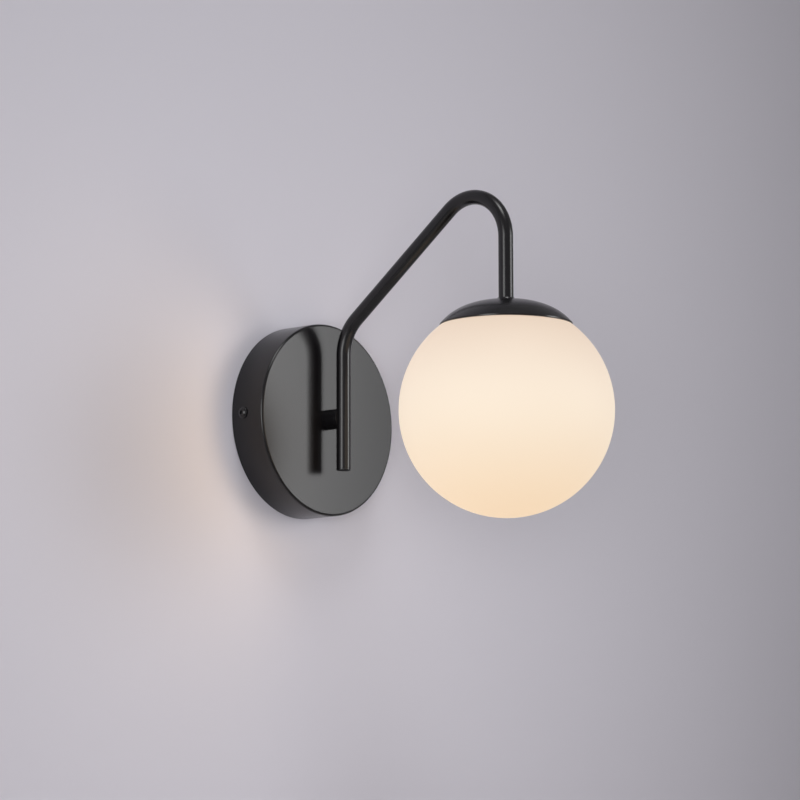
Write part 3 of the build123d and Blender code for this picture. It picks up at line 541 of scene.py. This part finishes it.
# %% [markdown]
# ## Screws
# The photograph shows a small domed screw in the canopy's side. A button head with a hexagon
# socket suits it, and the earth, terminal block and lampholder screws are of the same kind. The
# head is turned with a round socket, whose rings are then pushed out onto a hexagon. A thread is
# the same idea on a finely ringed shank: each point moves in or out by where it is on the helix.
# The glass neck and the gallery use it as well.


# %% Threads and button-head screws
RIDGE_POWER = 1.4  # above 1, the ridges are narrower than the grooves
RUN_OUT = 3  # a thread fades in and out over a third of its pitch
RINGS_PER_PITCH, SCREW_DEPTH = 8, 0.55  # the depth is a share of the pitch
MOUTH, SOCKET_FLOOR, HEAD_RIM = 1.2, 0.4, 0.25  # of the socket's width, and of the head's height
SHANK_FIT, TIP_LENGTH, TIP_CHAMFER = 0.05 * MM, 0.3 * MM, 0.35 * MM


def thread(bm, radius, pitch, depth, low, high, start=0.0):
    """Moves a turned wall of that radius out or in, by up to a depth, along a right-hand helix."""
    moved = 0
    for vert in bm.verts:
        if abs(vert.co.xy.length - radius) < 1e-6 and low < vert.co.z < high:
            turn = vert.co.z / pitch - atan2(vert.co.y, vert.co.x) / tau + start
            from_end = min(vert.co.z - low, high - vert.co.z)
            ridge = (0.5 + 0.5 * cos(tau * turn)) ** RIDGE_POWER
            fade = min(1.0, from_end / pitch * RUN_OUT)
            vert.co.xy = vert.co.xy * (1 + depth * ridge * fade / radius)
            moved += 1
    return moved


def button_screw(diameter, pitch, length, head_diameter, head_height, key):
    """A screw along Z, its head standing on the plane Z = 0."""
    head, shank, socket = head_diameter / 2, diameter / 2 - SHANK_FIT, key / 2
    dome_height = (1 - HEAD_RIM) * head_height
    dome = (head**2 + dome_height**2) / (2 * dome_height)
    lean = asin(MOUTH * socket / dome)
    floor, rim = SOCKET_FLOOR * head_height, head_height - dome * (1 - cos(lean))
    screw = (
        Section(0, floor - 0.1 * head_height)
        .line(socket, floor)
        .line(socket, rim - 0.08 * MM)
        .line(MOUTH * socket, rim)
        .arc(head, HEAD_RIM * head_height, leaving=(cos(lean), -sin(lean)), steps=8)
        .line(head, 0, corner=0.15 * MM)
        .line(shank, 0)
        .line(shank, -length + TIP_LENGTH, parts=round(RINGS_PER_PITCH * length / pitch))
        .line(shank - TIP_CHAMFER, -length)
        .line(0, -length)
        .turned(SCREW_STEPS)
    )
    thread(screw, shank, pitch, -SCREW_DEPTH * pitch, -length - pitch, 0)
    for vert in screw.verts:
        if abs(vert.co.xy.length - socket) < 1e-6 and vert.co.z > 0:
            across = (atan2(vert.co.y, vert.co.x) % radians(60)) - radians(30)
            vert.co.xy = vert.co.xy / cos(across)
    return screw


print("a screw's thread has", RINGS_PER_PITCH, "rings to a turn")

# %% [markdown]
# The two in the canopy's side are M4 and black like it. The others are zinc plated: an M4 for the
# earth wire, an M3 through the terminal block, and an M3 at each side of the lampholder. Screws
# that share a node are one piece, so the second is a copy of the first at its own place.


# %% The lamp's screws
def only(kind, parts):
    """The verts or the edges among what an operator gives back."""
    return [part for part in parts if isinstance(part, kind)]


def set_out(bm, places):
    """Copies what was made to every place, and takes the first one away."""
    made = bm.verts[:] + bm.edges[:] + bm.faces[:]
    for place in places:
        copy = bmesh.ops.duplicate(bm, geom=made)["geom"]
        bmesh.ops.transform(bm, matrix=place, verts=only(BMVert, copy))
    bmesh.ops.delete(bm, geom=only(BMVert, made))
    return bm


STIRRUP_SIDE = 10.05 * MM
EARTH_PLACE = (-9 * MM, -2.8 * MM, -9 * MM)
BLOCK_PLACE = (4.75 * MM, -10.4 * MM, 25 * MM)
holder_screw_low, holder_screw_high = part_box("holder_screws")
holder_screw_z = (holder_screw_low.z + holder_screw_high.z) / 2
from_sides = [
    facing((side * canopy_radius, -SIDE_SCREW_SETBACK, 0), (side, 0, 0)) for side in (1, -1)
]
into_holder = [
    facing((side * STIRRUP_SIDE, drop_y, holder_screw_z), (side, 0, 0)) for side in (1, -1)
]
into_earth, into_block = (facing(place, (0, -1, 0)) for place in (EARTH_PLACE, BLOCK_PLACE))
# Diameter, pitch, length, head diameter, head height and key, in millimetres
SCREWS = {
    "canopy_screws": ((4, 0.7, 8, 8, 2.4, 2.5), "black_powder_coat", from_sides),
    "earth_screw": ((4, 0.7, 2.75, 7, 2.4, 2.5), "zinc_steel", [into_earth]),
    "block_screw": ((3, 0.5, 10.35, 5.3, 1.7, 1.8), "zinc_steel", [into_block]),
    "holder_screws": ((3, 0.5, 3.9, 5.4, 1.7, 1.8), "zinc_steel", into_holder),
}
for node, (sizes, slot, places) in SCREWS.items():
    screws = set_out(button_screw(*[size * MM for size in sizes]), places)
    hand_over(screws, f"{node}_cut", "fixture", slot, [node])

# %% [markdown]
# ## Nuts
# A turned nut blank has a cone at each end. Milling its six flats cuts the cones into the curved
# corners that every hexagon nut shows. The lesson does the same: a ring with two cones, bisected
# by six planes, and each open side filled again.


# %% Hexagon nuts
NUT_BORE, NUT_FLATS, NUT_CHAMFER = 5.05 * MM, 14 * MM, 0.4 * MM
NUT_STEPS, FLAT_TOP = 96, 0.95  # the flat top is a share of the width across the flats


def hex_nut(bore, flats, thickness):
    """A nut on the plane Z = 0 whose corners point along X."""
    corner = flats / 2 / cos(radians(30))
    flat_top = FLAT_TOP * flats / 2
    cone = (corner - flat_top) * tan(radians(30))
    nut = (
        Section(bore + NUT_CHAMFER, 0)
        .line(flat_top, 0)
        .line(corner, cone)
        .line(corner, thickness - cone)
        .line(flat_top, thickness)
        .line(bore + NUT_CHAMFER, thickness)
        .line(bore, thickness - NUT_CHAMFER)
        .line(bore, NUT_CHAMFER)
        .close()
        .turned(NUT_STEPS)
    )
    for side in range(6):
        angle = radians(30 + 60 * side)
        outwards = Vector((cos(angle), sin(angle), 0))
        cut = bmesh.ops.bisect_plane(
            nut,
            geom=nut.verts[:] + nut.edges[:] + nut.faces[:],
            plane_co=outwards * flats / 2,
            plane_no=outwards,
            clear_outer=True,
        )
        bmesh.ops.edgeloop_fill(nut, edges=only(BMEdge, cut["geom_cut"]))
    return nut


for node in ("cap_nut", "holder_nut"):
    low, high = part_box(node)
    nut = hex_nut(NUT_BORE, NUT_FLATS, high.z - low.z)
    place = ON_DROP_AXIS @ Matrix.Translation((0, 0, low.z))
    hand_over(nut, f"{node}_hexagon", "fixture", "zinc_steel", [node], place)
low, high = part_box("nipple_nut")
nut = hex_nut(NUT_BORE, NUT_FLATS, high.y - low.y)
place = ON_CANOPY_AXIS @ Matrix.Translation((0, 0, -high.y))
hand_over(nut, "nipple_nut_hexagon", "fixture", "zinc_steel", ["nipple_nut"], place)

# %% [markdown]
# ## Hollow nipple
# Stub and canopy are clamped together on a short brass nipple, threaded M10 by 1 over its whole
# length and bored through for the wires.

# %% The threaded nipple
nipple_low, nipple_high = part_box("stub_nipple")
nipple_radius = nipple_high.x
NIPPLE_BORE, NIPPLE_CHAMFER = 3.3 * MM, 0.5 * MM
TUBE_PITCH, NIPPLE_DEPTH = 1 * MM, 0.55 * MM
TUBE_STEPS = 72
inner_end, outer_end = -nipple_high.y, -nipple_low.y
nipple = (
    Section(NIPPLE_BORE, inner_end)
    .line(nipple_radius - NIPPLE_CHAMFER, inner_end)
    .line(nipple_radius, inner_end + NIPPLE_CHAMFER)
    .line(nipple_radius, outer_end - NIPPLE_CHAMFER, parts=92)
    .line(nipple_radius - NIPPLE_CHAMFER, outer_end)
    .line(NIPPLE_BORE, outer_end)
    .close()
    .turned(TUBE_STEPS)
)
moved = thread(nipple, nipple_radius, TUBE_PITCH, -NIPPLE_DEPTH, inner_end, outer_end)
print("thread moved", moved, "points")
hand_over(nipple, "nipple_threaded", "fixture", "brass", ["stub_nipple"], ON_CANOPY_AXIS)

# %% [markdown]
# # Arm
# One steel tube of 10 mm, drawn straight, bent twice on the same former and closed at its lower
# end. A curve with a bevel would be less work, but its rings bunch up in the bends. A circle
# carried along the route makes the outside: extruded where the tube is straight, spun about the
# former where it bends. Its wall gets its thickness last, when every face already points outwards.

# %% The arm's route
BEND_RADIUS = 30.7 * MM
ARM_SLOPE = radians(52.5)
TUBE_WALL = 1.0 * MM
arm_reach = leg_y - drop_y
second_turn = pi - ARM_SLOPE
lower_setback = BEND_RADIUS * tan(ARM_SLOPE / 2)
upper_setback = BEND_RADIUS * tan(second_turn / 2)
second_bend_z = tube_high.z - tube_radius - BEND_RADIUS
first_bend_z = second_bend_z + upper_setback - arm_reach / tan(ARM_SLOPE) - lower_setback
raised_run = arm_reach / sin(ARM_SLOPE) - lower_setback - upper_setback
print("raised run", round(raised_run / MM, 1), "mm")
print("bends at z", round(first_bend_z / MM, 1), "and", round(second_bend_z / MM, 1), "mm")

# %% [markdown]
# Inside the cap the tube carries an M10 thread for the two nuts, so that its last stretch gets
# close rings. The hole that lets the wires in faces the wall, under the ferrule.

# %% The tube, drawn, bent and threaded
TUBE_END_Z = 51.802 * MM
TUBE_DEPTH, THREAD_UNDER_CAP = 0.5 * MM, 0.5 * MM
DRILL_LENGTH = 9 * MM
arm = bmesh.new()
foot = Matrix.Translation((0, leg_y, tube_low.z))
bmesh.ops.create_circle(arm, segments=TUBE_STEPS, radius=tube_radius, matrix=foot)
rim = arm.edges[:]


def draw_on(rim, shift, parts):
    """Carries the rim straight on, and gives back the new rim."""
    for _ in range(parts):
        made = bmesh.ops.extrude_edge_only(arm, edges=rim)["geom"]
        bmesh.ops.translate(arm, vec=Vector(shift) / parts, verts=only(BMVert, made))
        rim = only(BMEdge, made)
    return rim


def bend_on(rim, centre, angle, steps):
    """Carries the rim round the former, and gives back the new rim."""
    made = bmesh.ops.spin(arm, geom=rim, cent=centre, axis=(1, 0, 0), angle=angle, steps=steps)
    return only(BMEdge, made["geom_last"])


thread_top = cap_high.z - THREAD_UNDER_CAP
rim = draw_on(rim, (0, 0, first_bend_z - tube_low.z), parts=8)
rim = bend_on(rim, (0, leg_y - BEND_RADIUS, first_bend_z), ARM_SLOPE, steps=28)
rim = draw_on(rim, (0, -raised_run * sin(ARM_SLOPE), raised_run * cos(ARM_SLOPE)), parts=8)
rim = bend_on(rim, (0, drop_y + BEND_RADIUS, second_bend_z), second_turn, steps=64)
rim = draw_on(rim, (0, 0, thread_top - second_bend_z), parts=4)
draw_on(rim, (0, 0, TUBE_END_Z - thread_top), parts=104)
bmesh.ops.recalc_face_normals(arm, faces=arm.faces)
bmesh.ops.solidify(arm, geom=arm.faces[:], thickness=TUBE_WALL)
bmesh.ops.transform(arm, matrix=ON_DROP_AXIS.inverted(), verts=arm.verts)
thread(arm, tube_radius, TUBE_PITCH, -TUBE_DEPTH, TUBE_END_Z - TUBE_PITCH, thread_top)
bmesh.ops.transform(arm, matrix=ON_DROP_AXIS, verts=arm.verts)
arm = drilled(arm, NIPPLE_BORE, (0, leg_y + tube_radius, 0), (0, 1, 0), DRILL_LENGTH)
hand_over(arm, "arm_tube_bent", "fixture", "black_powder_coat", ["arm_tube"])

# %% [markdown]
# A pressed plug closes the lower end. Its chamfer draws the fine dark line where the tube stops.

# %% End plug
plug_low, plug_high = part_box("tube_end_plug")
PLUG_HEAD, PLUG_CHAMFER, PLUG_FIT = 1.2 * MM, 0.36 * MM, 0.05 * MM
plug_radius = tube_radius - TUBE_WALL - PLUG_FIT
plug = (
    Section(0, plug_low.z)
    .line(tube_radius - PLUG_CHAMFER, plug_low.z)
    .line(tube_radius, plug_low.z + PLUG_CHAMFER, corner=0.15 * MM)
    .line(tube_radius, plug_low.z + PLUG_HEAD, corner=0.1 * MM)
    .line(plug_radius, plug_low.z + PLUG_HEAD)
    .line(plug_radius, plug_high.z, corner=0.4 * MM)
    .line(0, plug_high.z)
    .turned(TUBE_STEPS)
)
in_leg = Matrix.Translation((0, leg_y, 0))
hand_over(plug, "end_plug", "fixture", "black_powder_coat", ["tube_end_plug"], in_leg)

# %% [markdown]
# # Cap
# The domed cap is spun too, in two sweeps: a nearly flat crown, and a rounder skirt that turns
# down to a short straight lip just above the glass. Both arcs share a tangent where they meet, so
# the light runs over the cap without a kink. The inside is drawn back along the same two arcs, one
# wall thickness in.

# %% The cap
CAP_WALL, CAP_LIP = 1.0 * MM, 0.95 * MM
CROWN_RADIUS, CROWN_TURN = 56.4 * MM, radians(23.8)
CAP_SEAT = 7.4 * MM
TUBE_HOLE = 5.05 * MM
cap_radius, cap_top, cap_base = cap_high.x, cap_high.z, cap_low.z
slope_out = (cos(CROWN_TURN), -sin(CROWN_TURN))


def crown_knee(wall):
    """Where crown and skirt meet, that far inside the cap's outer face."""
    radius = CROWN_RADIUS - wall
    return CAP_SEAT + radius * sin(CROWN_TURN), cap_top - CROWN_RADIUS + radius * cos(CROWN_TURN)


cap = (
    Section(TUBE_HOLE, cap_top)
    .line(CAP_SEAT, cap_top)
    .arc(*crown_knee(0), leaving=(1, 0))
    .arc(cap_radius, cap_base + CAP_LIP, leaving=slope_out)
    .line(cap_radius, cap_base, corner=0.25 * MM)
    .line(cap_radius - CAP_WALL, cap_base, corner=0.25 * MM)
    .line(cap_radius - CAP_WALL, cap_base + CAP_LIP)
    .arc(*crown_knee(CAP_WALL), arriving=(-slope_out[0], -slope_out[1]))
    .arc(CAP_SEAT, cap_top - CAP_WALL, arriving=(-1, 0))
    .line(TUBE_HOLE, cap_top - CAP_WALL)
    .close()
    .turned()
)
hand_over(cap, "cap_dome", "fixture", "black_powder_coat", ["shade_cap"], ON_DROP_AXIS)

COLLAR_FOOT, COLLAR_TOP = 0.6 * MM, 5.8 * MM
collar_low, collar_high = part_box("cap_collar")
collar = (
    Section(TUBE_HOLE, collar_low.z)
    .line(collar_high.x, collar_low.z)
    .line(collar_high.x, collar_low.z + COLLAR_FOOT, corner=0.4 * MM)
    .line(COLLAR_TOP, collar_high.z, corner=0.4 * MM)
    .line(TUBE_HOLE, collar_high.z, corner=0.15 * MM)
    .close()
    .turned(TUBE_STEPS)
)
hand_over(collar, "collar_turned", "fixture", "black_powder_coat", ["cap_collar"], ON_DROP_AXIS)

# %% [markdown]
# # Globe
# The glass is blown in a mould: a ball of 144 mm, a flat shoulder under the cap, and a neck with
# one coarse round thread that screws into the gallery. It needs a real wall, because the neck is
# seen when the globe is unscrewed. A UV sphere would have to be cut and capped; one section from
# pole to pole has it all at once.

# %% The globe with its threaded neck
GLASS, NECK_RADIUS, NECK_BORE = 3.0 * MM, 27.0 * MM, 23.5 * MM
SEAT_RADIUS, SEAT_RISE = 34.5 * MM, 1.8 * MM
THREAD_PITCH, GLASS_RIDGE = 4.0 * MM, 0.6 * MM
NECK_PLAIN, NECK_LIP = 1 * MM, 0.75 * MM
GLOBE_STEPS = 160
neck_top = globe_high.z
shoulder_z = globe_middle + sqrt(globe_radius**2 - cap_radius**2)
ledge_z = shoulder_z + SEAT_RISE
ledge_radius = cap_radius - 2 * MM
bore_radius = globe_radius - GLASS
inner_shoulder = sqrt(bore_radius**2 - (shoulder_z - GLASS - globe_middle) ** 2)
globe = (
    Section(0, globe_low.z)
    .arc(globe_radius, globe_middle, leaving=(1, 0), steps=48)
    .arc(cap_radius, shoulder_z, leaving=(0, 1), steps=30, corner=0.8 * MM)
    .line(ledge_radius, shoulder_z, corner=3 * MM)
    .line(SEAT_RADIUS, ledge_z, corner=3 * MM)
    .line(NECK_RADIUS, ledge_z, corner=0.8 * MM)
    .line(NECK_RADIUS, ledge_z + NECK_PLAIN)
    .line(NECK_RADIUS, neck_top - NECK_PLAIN, parts=34)
    .line(NECK_RADIUS, neck_top, corner=NECK_LIP)
    .line(NECK_BORE, neck_top, corner=NECK_LIP)
    .line(NECK_BORE, ledge_z - GLASS, corner=1.5 * MM)
    .line(SEAT_RADIUS, ledge_z - GLASS, corner=2 * MM)
    .line(ledge_radius, shoulder_z - GLASS)
    .line(inner_shoulder, shoulder_z - GLASS)
    .arc(bore_radius, globe_middle, arriving=(0, -1), steps=30)
    .arc(0, globe_middle - bore_radius, leaving=(0, -1), steps=48)
    .turned(GLOBE_STEPS)
)
ridge_ends = ledge_z + NECK_PLAIN, neck_top - 0.9 * MM
thread(globe, NECK_RADIUS, THREAD_PITCH, GLASS_RIDGE, *ridge_ends)
hand_over(globe, "globe_glass", "globe", "opal_glass", ["glass_globe"], ON_DROP_AXIS)

# %% [markdown]
# ## Gallery and gasket
# The steel gallery takes the neck. Its thread is rolled into the wall as inward ridges that run
# between those on the glass, half a pitch on, so both stay in step as the globe turns 4 mm down
# for each turn. Between gallery and glass lies a flat silicone ring.

# %% The gallery and the gasket
GALLERY_WALL, GALLERY_PLATE, ROLLED_RIDGE = 1.5 * MM, 1.2 * MM, 0.45 * MM
gallery_radius = ring_high.x
gallery_inner = gallery_radius - GALLERY_WALL
plate_base = ring_high.z - GALLERY_PLATE
gallery = (
    Section(TUBE_HOLE, ring_high.z)
    .line(gallery_radius, ring_high.z, corner=0.96 * MM)
    .line(gallery_radius, ring_low.z, corner=0.4 * MM)
    .line(gallery_inner, ring_low.z, corner=0.4 * MM)
    .line(gallery_inner, ring_low.z + 0.6 * MM)
    .line(gallery_inner, plate_base - 0.4 * MM, parts=30)
    .line(gallery_inner, plate_base, corner=0.3 * MM)
    .line(TUBE_HOLE, plate_base)
    .close()
    .turned()
)
ridge_ends = ring_low.z + 0.5 * MM, plate_base - 0.3 * MM
thread(gallery, gallery_inner, THREAD_PITCH, -ROLLED_RIDGE, *ridge_ends, start=0.5)
hand_over(gallery, "gallery_rolled", "fixture", "zinc_steel", ["gallery_ring"], ON_DROP_AXIS)

gasket_low, gasket_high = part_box("globe_gasket")
GASKET_WIDTH = 5.0 * MM
gasket = (
    Section(gasket_high.x - GASKET_WIDTH, gasket_low.z)
    .line(gasket_high.x, gasket_low.z, corner=0.3 * MM)
    .line(gasket_high.x, gasket_high.z, corner=0.3 * MM)
    .line(gasket_high.x - GASKET_WIDTH, gasket_high.z, corner=0.3 * MM)
    .close(corner=0.3 * MM)
    .turned()
)
hand_over(gasket, "gasket_moulded", "gasket", "silicone", ["globe_gasket"], ON_DROP_AXIS)

# %% [markdown]
# # Bulb
# The capsule's cover is a thin frosted tube with a round end, open at its base.

# %% The bulb's cover
cover_low, cover_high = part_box("bulb_cover")
COVER_WALL = 1.0 * MM
cover_radius = cover_high.x
cover = (
    Section(0, cover_low.z)
    .arc(cover_radius, cover_low.z + cover_radius, leaving=(1, 0), steps=16)
    .line(cover_radius, cover_high.z, corner=0.2 * MM)
    .line(cover_radius - COVER_WALL, cover_high.z, corner=0.2 * MM)
    .line(cover_radius - COVER_WALL, cover_low.z + cover_radius)
    .arc(0, cover_low.z + COVER_WALL, leaving=(0, -1), steps=16)
    .turned(TUBE_STEPS)
)
hand_over(cover, "bulb_cover_frosted", "bulb", "bulb_diffuser", ["bulb_cover"], ON_DROP_AXIS)

# %% [markdown]
# # Stamped, moulded and machined parts
# The construction already has the right shapes for the rest, but its edges are sharp, and real
# ones never are: a bevel of a tenth to half a millimetre is what catches the light. A copy of the
# node is merged, its flat faces are joined again, and every edge past thirty degrees gets a
# rounded bevel of the width that its process leaves: narrow on stamped steel, wide on pressed
# ceramic.


# %% Bevelled copies
SAME_POINT, SAME_FLAT = 2e-6, radians(0.5)


def bevelled_copy(node, width):
    copy = bmesh.new()
    copy.from_mesh(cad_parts[node].data)
    bmesh.ops.remove_doubles(copy, verts=copy.verts, dist=SAME_POINT)
    bmesh.ops.dissolve_limit(copy, angle_limit=SAME_FLAT, verts=copy.verts, edges=copy.edges)
    sharp = [edge for edge in copy.edges if edge.is_manifold and edge.calc_face_angle() > SHARP]
    bmesh.ops.bevel(
        copy, geom=sharp, offset=width, offset_type="OFFSET", affect="EDGES", segments=2,
        profile=0.5, material=-1, clamp_overlap=False,
    )
    return copy


# Body, finish and width of the bevel in millimetres
COPIES = {
    "mounting_bracket": ("fixture", "zinc_steel", 0.25),
    "earth_lug": ("fixture", "brass", 0.05),
    "terminal_block": ("fixture", "polyamide", 0.14),
    "clamp_screws": ("fixture", "brass", 0.1),
    "nipple_bush": ("fixture", "black_polyamide", 0.12),
    "nipple_washer": ("fixture", "zinc_steel", 0.08),
    "cap_washer": ("fixture", "zinc_steel", 0.08),
    "holder_washer": ("fixture", "zinc_steel", 0.08),
    "gallery_spacer": ("fixture", "zinc_steel", 0.15),
    "stub_sleeve": ("fixture", "black_powder_coat", 0.25),
    "saddle_ferrule": ("fixture", "black_powder_coat", 0.14),
    "holder_stirrup": ("fixture", "zinc_steel", 0.15),
    "holder_body": ("fixture", "ceramic", 0.4),
    "holder_contacts": ("fixture", "brass", 0.08),
    "bulb_base": ("bulb", "bulb_plastic", 0.3),
    "bulb_pins": ("bulb", "nickel_wire", 0.2),
    "led_core": ("bulb", "led_board", 0.1),
}
for node, (body, slot, width) in COPIES.items():
    hand_over(bevelled_copy(node, width * MM), f"{node}_edged", body, slot, [node])

# %% [markdown]
# ## Wires
# The three cores are round and smooth as the construction has them, so they keep their nodes and
# only change their material.

# %% Insulated wires
for node, slot in (
    ("live_wire", "brown_insulation"),
    ("neutral_wire", "blue_insulation"),
    ("earth_wire", "earth_insulation"),
):
    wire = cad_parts[node]
    wire.data.materials.clear()
    wire.data.materials.append(finishes[slot])
    print(node, "is", finishes[slot].name)

# %% [markdown]
# # Stage, light and camera
# A sconce belongs on a wall, so the stage is a pale wall just behind the canopy and a pale floor
# well below. The wall is only a backdrop: a disc two metres across, with a hole behind the canopy,
# and clear when seen from its back, so that the lamp can be looked at from behind.

# %% Wall and floor
WALL_GAP, WALL_RADIUS, HOLE_INSET = 0.6 * MM, 1.0, 4 * MM
WALL_STEPS = 96
FLOOR_HALF, FLOOR_Z = 0.6, -0.42
backdrops = {}
for name, hex_colour in (("wall", "#d9d6df"), ("floor", "#d9d7d6")):
    backdrops[name], tree, shader = new_material(
        f"matt {name} paint", hex_colour, 0.9, Specular_IOR_Level=0.2
    )
    side = add(tree, "ShaderNodeNewGeometry").outputs["Backfacing"]
    clear = add(tree, "ShaderNodeBsdfTransparent").outputs["BSDF"]
    output = next(node for node in tree.nodes if node.type == "OUTPUT_MATERIAL")
    front_and_back = {0: side, 1: shader.outputs["BSDF"], 2: clear}
    add(tree, "ShaderNodeMixShader", front_and_back, {"Shader": output.inputs["Surface"]})

wall = bmesh.new()
for radius in (canopy_radius - HOLE_INSET, WALL_RADIUS):
    bmesh.ops.create_circle(wall, segments=WALL_STEPS, radius=radius, matrix=ON_CANOPY_AXIS)
bmesh.ops.bridge_loops(wall, edges=wall.edges[:])
bmesh.ops.translate(wall, vec=(0, WALL_GAP, 0), verts=wall.verts)
floor = bmesh.new()
below = Matrix.Translation((0, -FLOOR_HALF, FLOOR_Z))
bmesh.ops.create_grid(floor, x_segments=1, y_segments=1, size=FLOOR_HALF, matrix=below)
for bm, name, front in ((wall, "wall", Vector((0, -1, 0))), (floor, "floor", Vector((0, 0, 1)))):
    turned_away = [face for face in bm.faces if face.normal.dot(front) < 0]
    bmesh.ops.reverse_faces(bm, faces=turned_away)
    mesh = bpy.data.meshes.new(name)
    bm.to_mesh(mesh)
    bm.free()
    mesh.materials.append(backdrops[name])
    new_object(name, mesh)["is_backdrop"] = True
print("stage: wall and floor, floor at z", FLOOR_Z)

# %% [markdown]
# The light is a plain studio set of soft lamps that the camera doesn't see. The right softbox is
# what the canopy's face mirrors, and a grid, here a narrow spread, keeps its light near the lamp.
# A tall one at the left draws the line down the tube. The one overhead hangs so high that the
# globe's shadow falls below the picture. The wall gets the rest of its light from a wash beside
# the camera, whose shadows hide behind the lamp and which no surface mirrors. A weak light behind
# the wall serves views of the back.


# %% Softboxes and wall wash
LAMP_MIDDLE = Vector((0, -0.1, 0.02))
WALL_MIDDLE = Vector((-0.03, 0, 0.06))
WASH_MIDDLE = Vector((0, 0, 0.1))


def area_light(name, shape, place, aim, width, height, radiance, spread):
    """An area light, as bright along its axis as a surface of that radiance."""
    lamp = bpy.data.lights.new(name, "AREA")
    lamp.shape = shape
    lamp.size, lamp.size_y = width, height
    lamp.spread = radians(spread)
    half = lamp.spread / 2
    lamp.energy = radiance * pi * width * height * (1 - half / tan(half))
    holder = new_object(name, lamp)
    back = (place - aim).to_track_quat("Z", "Y").to_matrix().to_4x4()
    holder.matrix_world = Matrix.Translation(place) @ back
    holder.visible_camera = False
    print(name, "gives", round(lamp.energy, 2), "W")
    return holder


softboxes = {}
for name, aim, direction, distance, width, height, radiance, spread in (
    ("right softbox", LAMP_MIDDLE, (0.602, -0.799, 0.12), 2.2, 0.95, 1.3, 8.3, 37),
    ("left softbox", LAMP_MIDDLE, (-0.98, -0.19, 0.05), 2.0, 0.9, 1.1, 5.4, 70),
    ("overhead softbox", WALL_MIDDLE, (-0.35, -0.6, 1.35), 2.2, 1.5, 1.5, 9.5, 35),
    ("light behind the wall", LAMP_MIDDLE, (0.3, 1.0, 0.35), 1.6, 1.0, 1.0, 1.4, 180),
    ("wall wash", WASH_MIDDLE, (-0.74, -0.66, -0.13), 2.4, 1.0, 1.0, 14.5, 34),
):
    place = aim + Vector(direction).normalized() * distance
    softboxes[name] = area_light(name, "RECTANGLE", place, aim, width, height, radiance, spread)
softboxes["wall wash"].visible_glossy = False

# %% [markdown]
# The globe's own glow reaches the wall, but too weakly, because its surface is only as bright as
# the picture can show. A small warm lamp between globe and wall adds the rest, and like the wall
# wash it is kept out of mirror images. The room is a dim even grey that looks pale where the
# camera sees it, and a little less so where a surface mirrors it.

# %% The glow on the wall, and the room
GLOW_SIZE, GLOW_RADIANCE, GLOW_SPREAD = 0.1, 4.2, 120
GLOW_DIRECTION = Vector((-0.75, 0.6, -0.25))
ROOM_LIGHT, ROOM_SEEN, MIRRORED_SHARE = 0.09, 0.55, 0.55
behind_globe = Vector((-0.02, drop_y + globe_radius + 3 * MM, globe_middle))
glow_on_wall = area_light(
    "glow of the globe", "ELLIPSE", behind_globe, behind_globe + GLOW_DIRECTION,
    GLOW_SIZE, GLOW_SIZE, GLOW_RADIANCE, GLOW_SPREAD,
)
glow_on_wall.data.color = (1.0, 0.68, 0.3)
glow_on_wall.visible_glossy = False

world = bpy.data.worlds.new("room")
world.use_nodes = True
bpy.context.scene.world = world
tree = world.node_tree
background = next(node for node in tree.nodes if node.type == "BACKGROUND")
background.inputs["Color"].default_value = linear("#f4f1f5")
ray = add(tree, "ShaderNodeLightPath").outputs
straight = {0: ray["Is Camera Ray"], 1: ray["Is Transmission Ray"]}
seen = add(tree, "ShaderNodeMath", straight, operation="MAXIMUM").outputs["Value"]
share = {0: ray["Is Glossy Ray"], 1: MIRRORED_SHARE}
mirrored = add(tree, "ShaderNodeMath", share, operation="MULTIPLY").outputs["Value"]
shown = add(tree, "ShaderNodeMath", {0: seen, 1: mirrored}, operation="MAXIMUM").outputs["Value"]
levels = {"Value": shown, "To Min": ROOM_LIGHT, "To Max": ROOM_SEEN}
add(tree, "ShaderNodeMapRange", levels, {"Result": background.inputs["Strength"]})
print("room: lights at", ROOM_LIGHT, "and shows at", ROOM_SEEN)

# %% [markdown]
# The camera stands to the left of the lamp, a little below the canopy, and looks up and across at
# it with a long lens. Its place, turn and lens were fitted together to the outlines of canopy,
# globe, cap and tube in a frame of 800 pixels, with no shift and no depth of field.

# %% Camera
AZIMUTH, ELEVATION, ROLL = radians(-48.506), radians(-8.058), radians(-0.121)
CAMERA_PLACE = (-1.874005, -1.752322, -0.346512)
FOCAL_PIXELS, FRAME_PIXELS, SENSOR_WIDTH = 3700.0, 800, 36.0
back = Vector((sin(AZIMUTH) * cos(ELEVATION), -cos(AZIMUTH) * cos(ELEVATION), sin(ELEVATION)))
right = Vector((cos(AZIMUTH), sin(AZIMUTH), 0))
up = back.cross(right)
rolled_right = cos(ROLL) * right + sin(ROLL) * up
rolled_up = cos(ROLL) * up - sin(ROLL) * right
camera = new_object("camera", bpy.data.cameras.new("camera"))
camera.data.sensor_width = SENSOR_WIDTH
camera.data.lens = FOCAL_PIXELS / FRAME_PIXELS * SENSOR_WIDTH
turn = Matrix((rolled_right, rolled_up, back)).transposed().to_4x4()
camera.matrix_world = Matrix.Translation(CAMERA_PLACE) @ turn
bpy.context.scene.camera = camera
bpy.context.scene.view_settings.view_transform = "Standard"
print("lens", round(camera.data.lens, 2), "mm")

# %% Boxes printed side by side, and the end
dressed_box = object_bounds()
for name, (low, high) in (("construction", cad_box), ("dressed", dressed_box)):
    print(name, [round(value / MM, 2) for value in (*low, *high)])
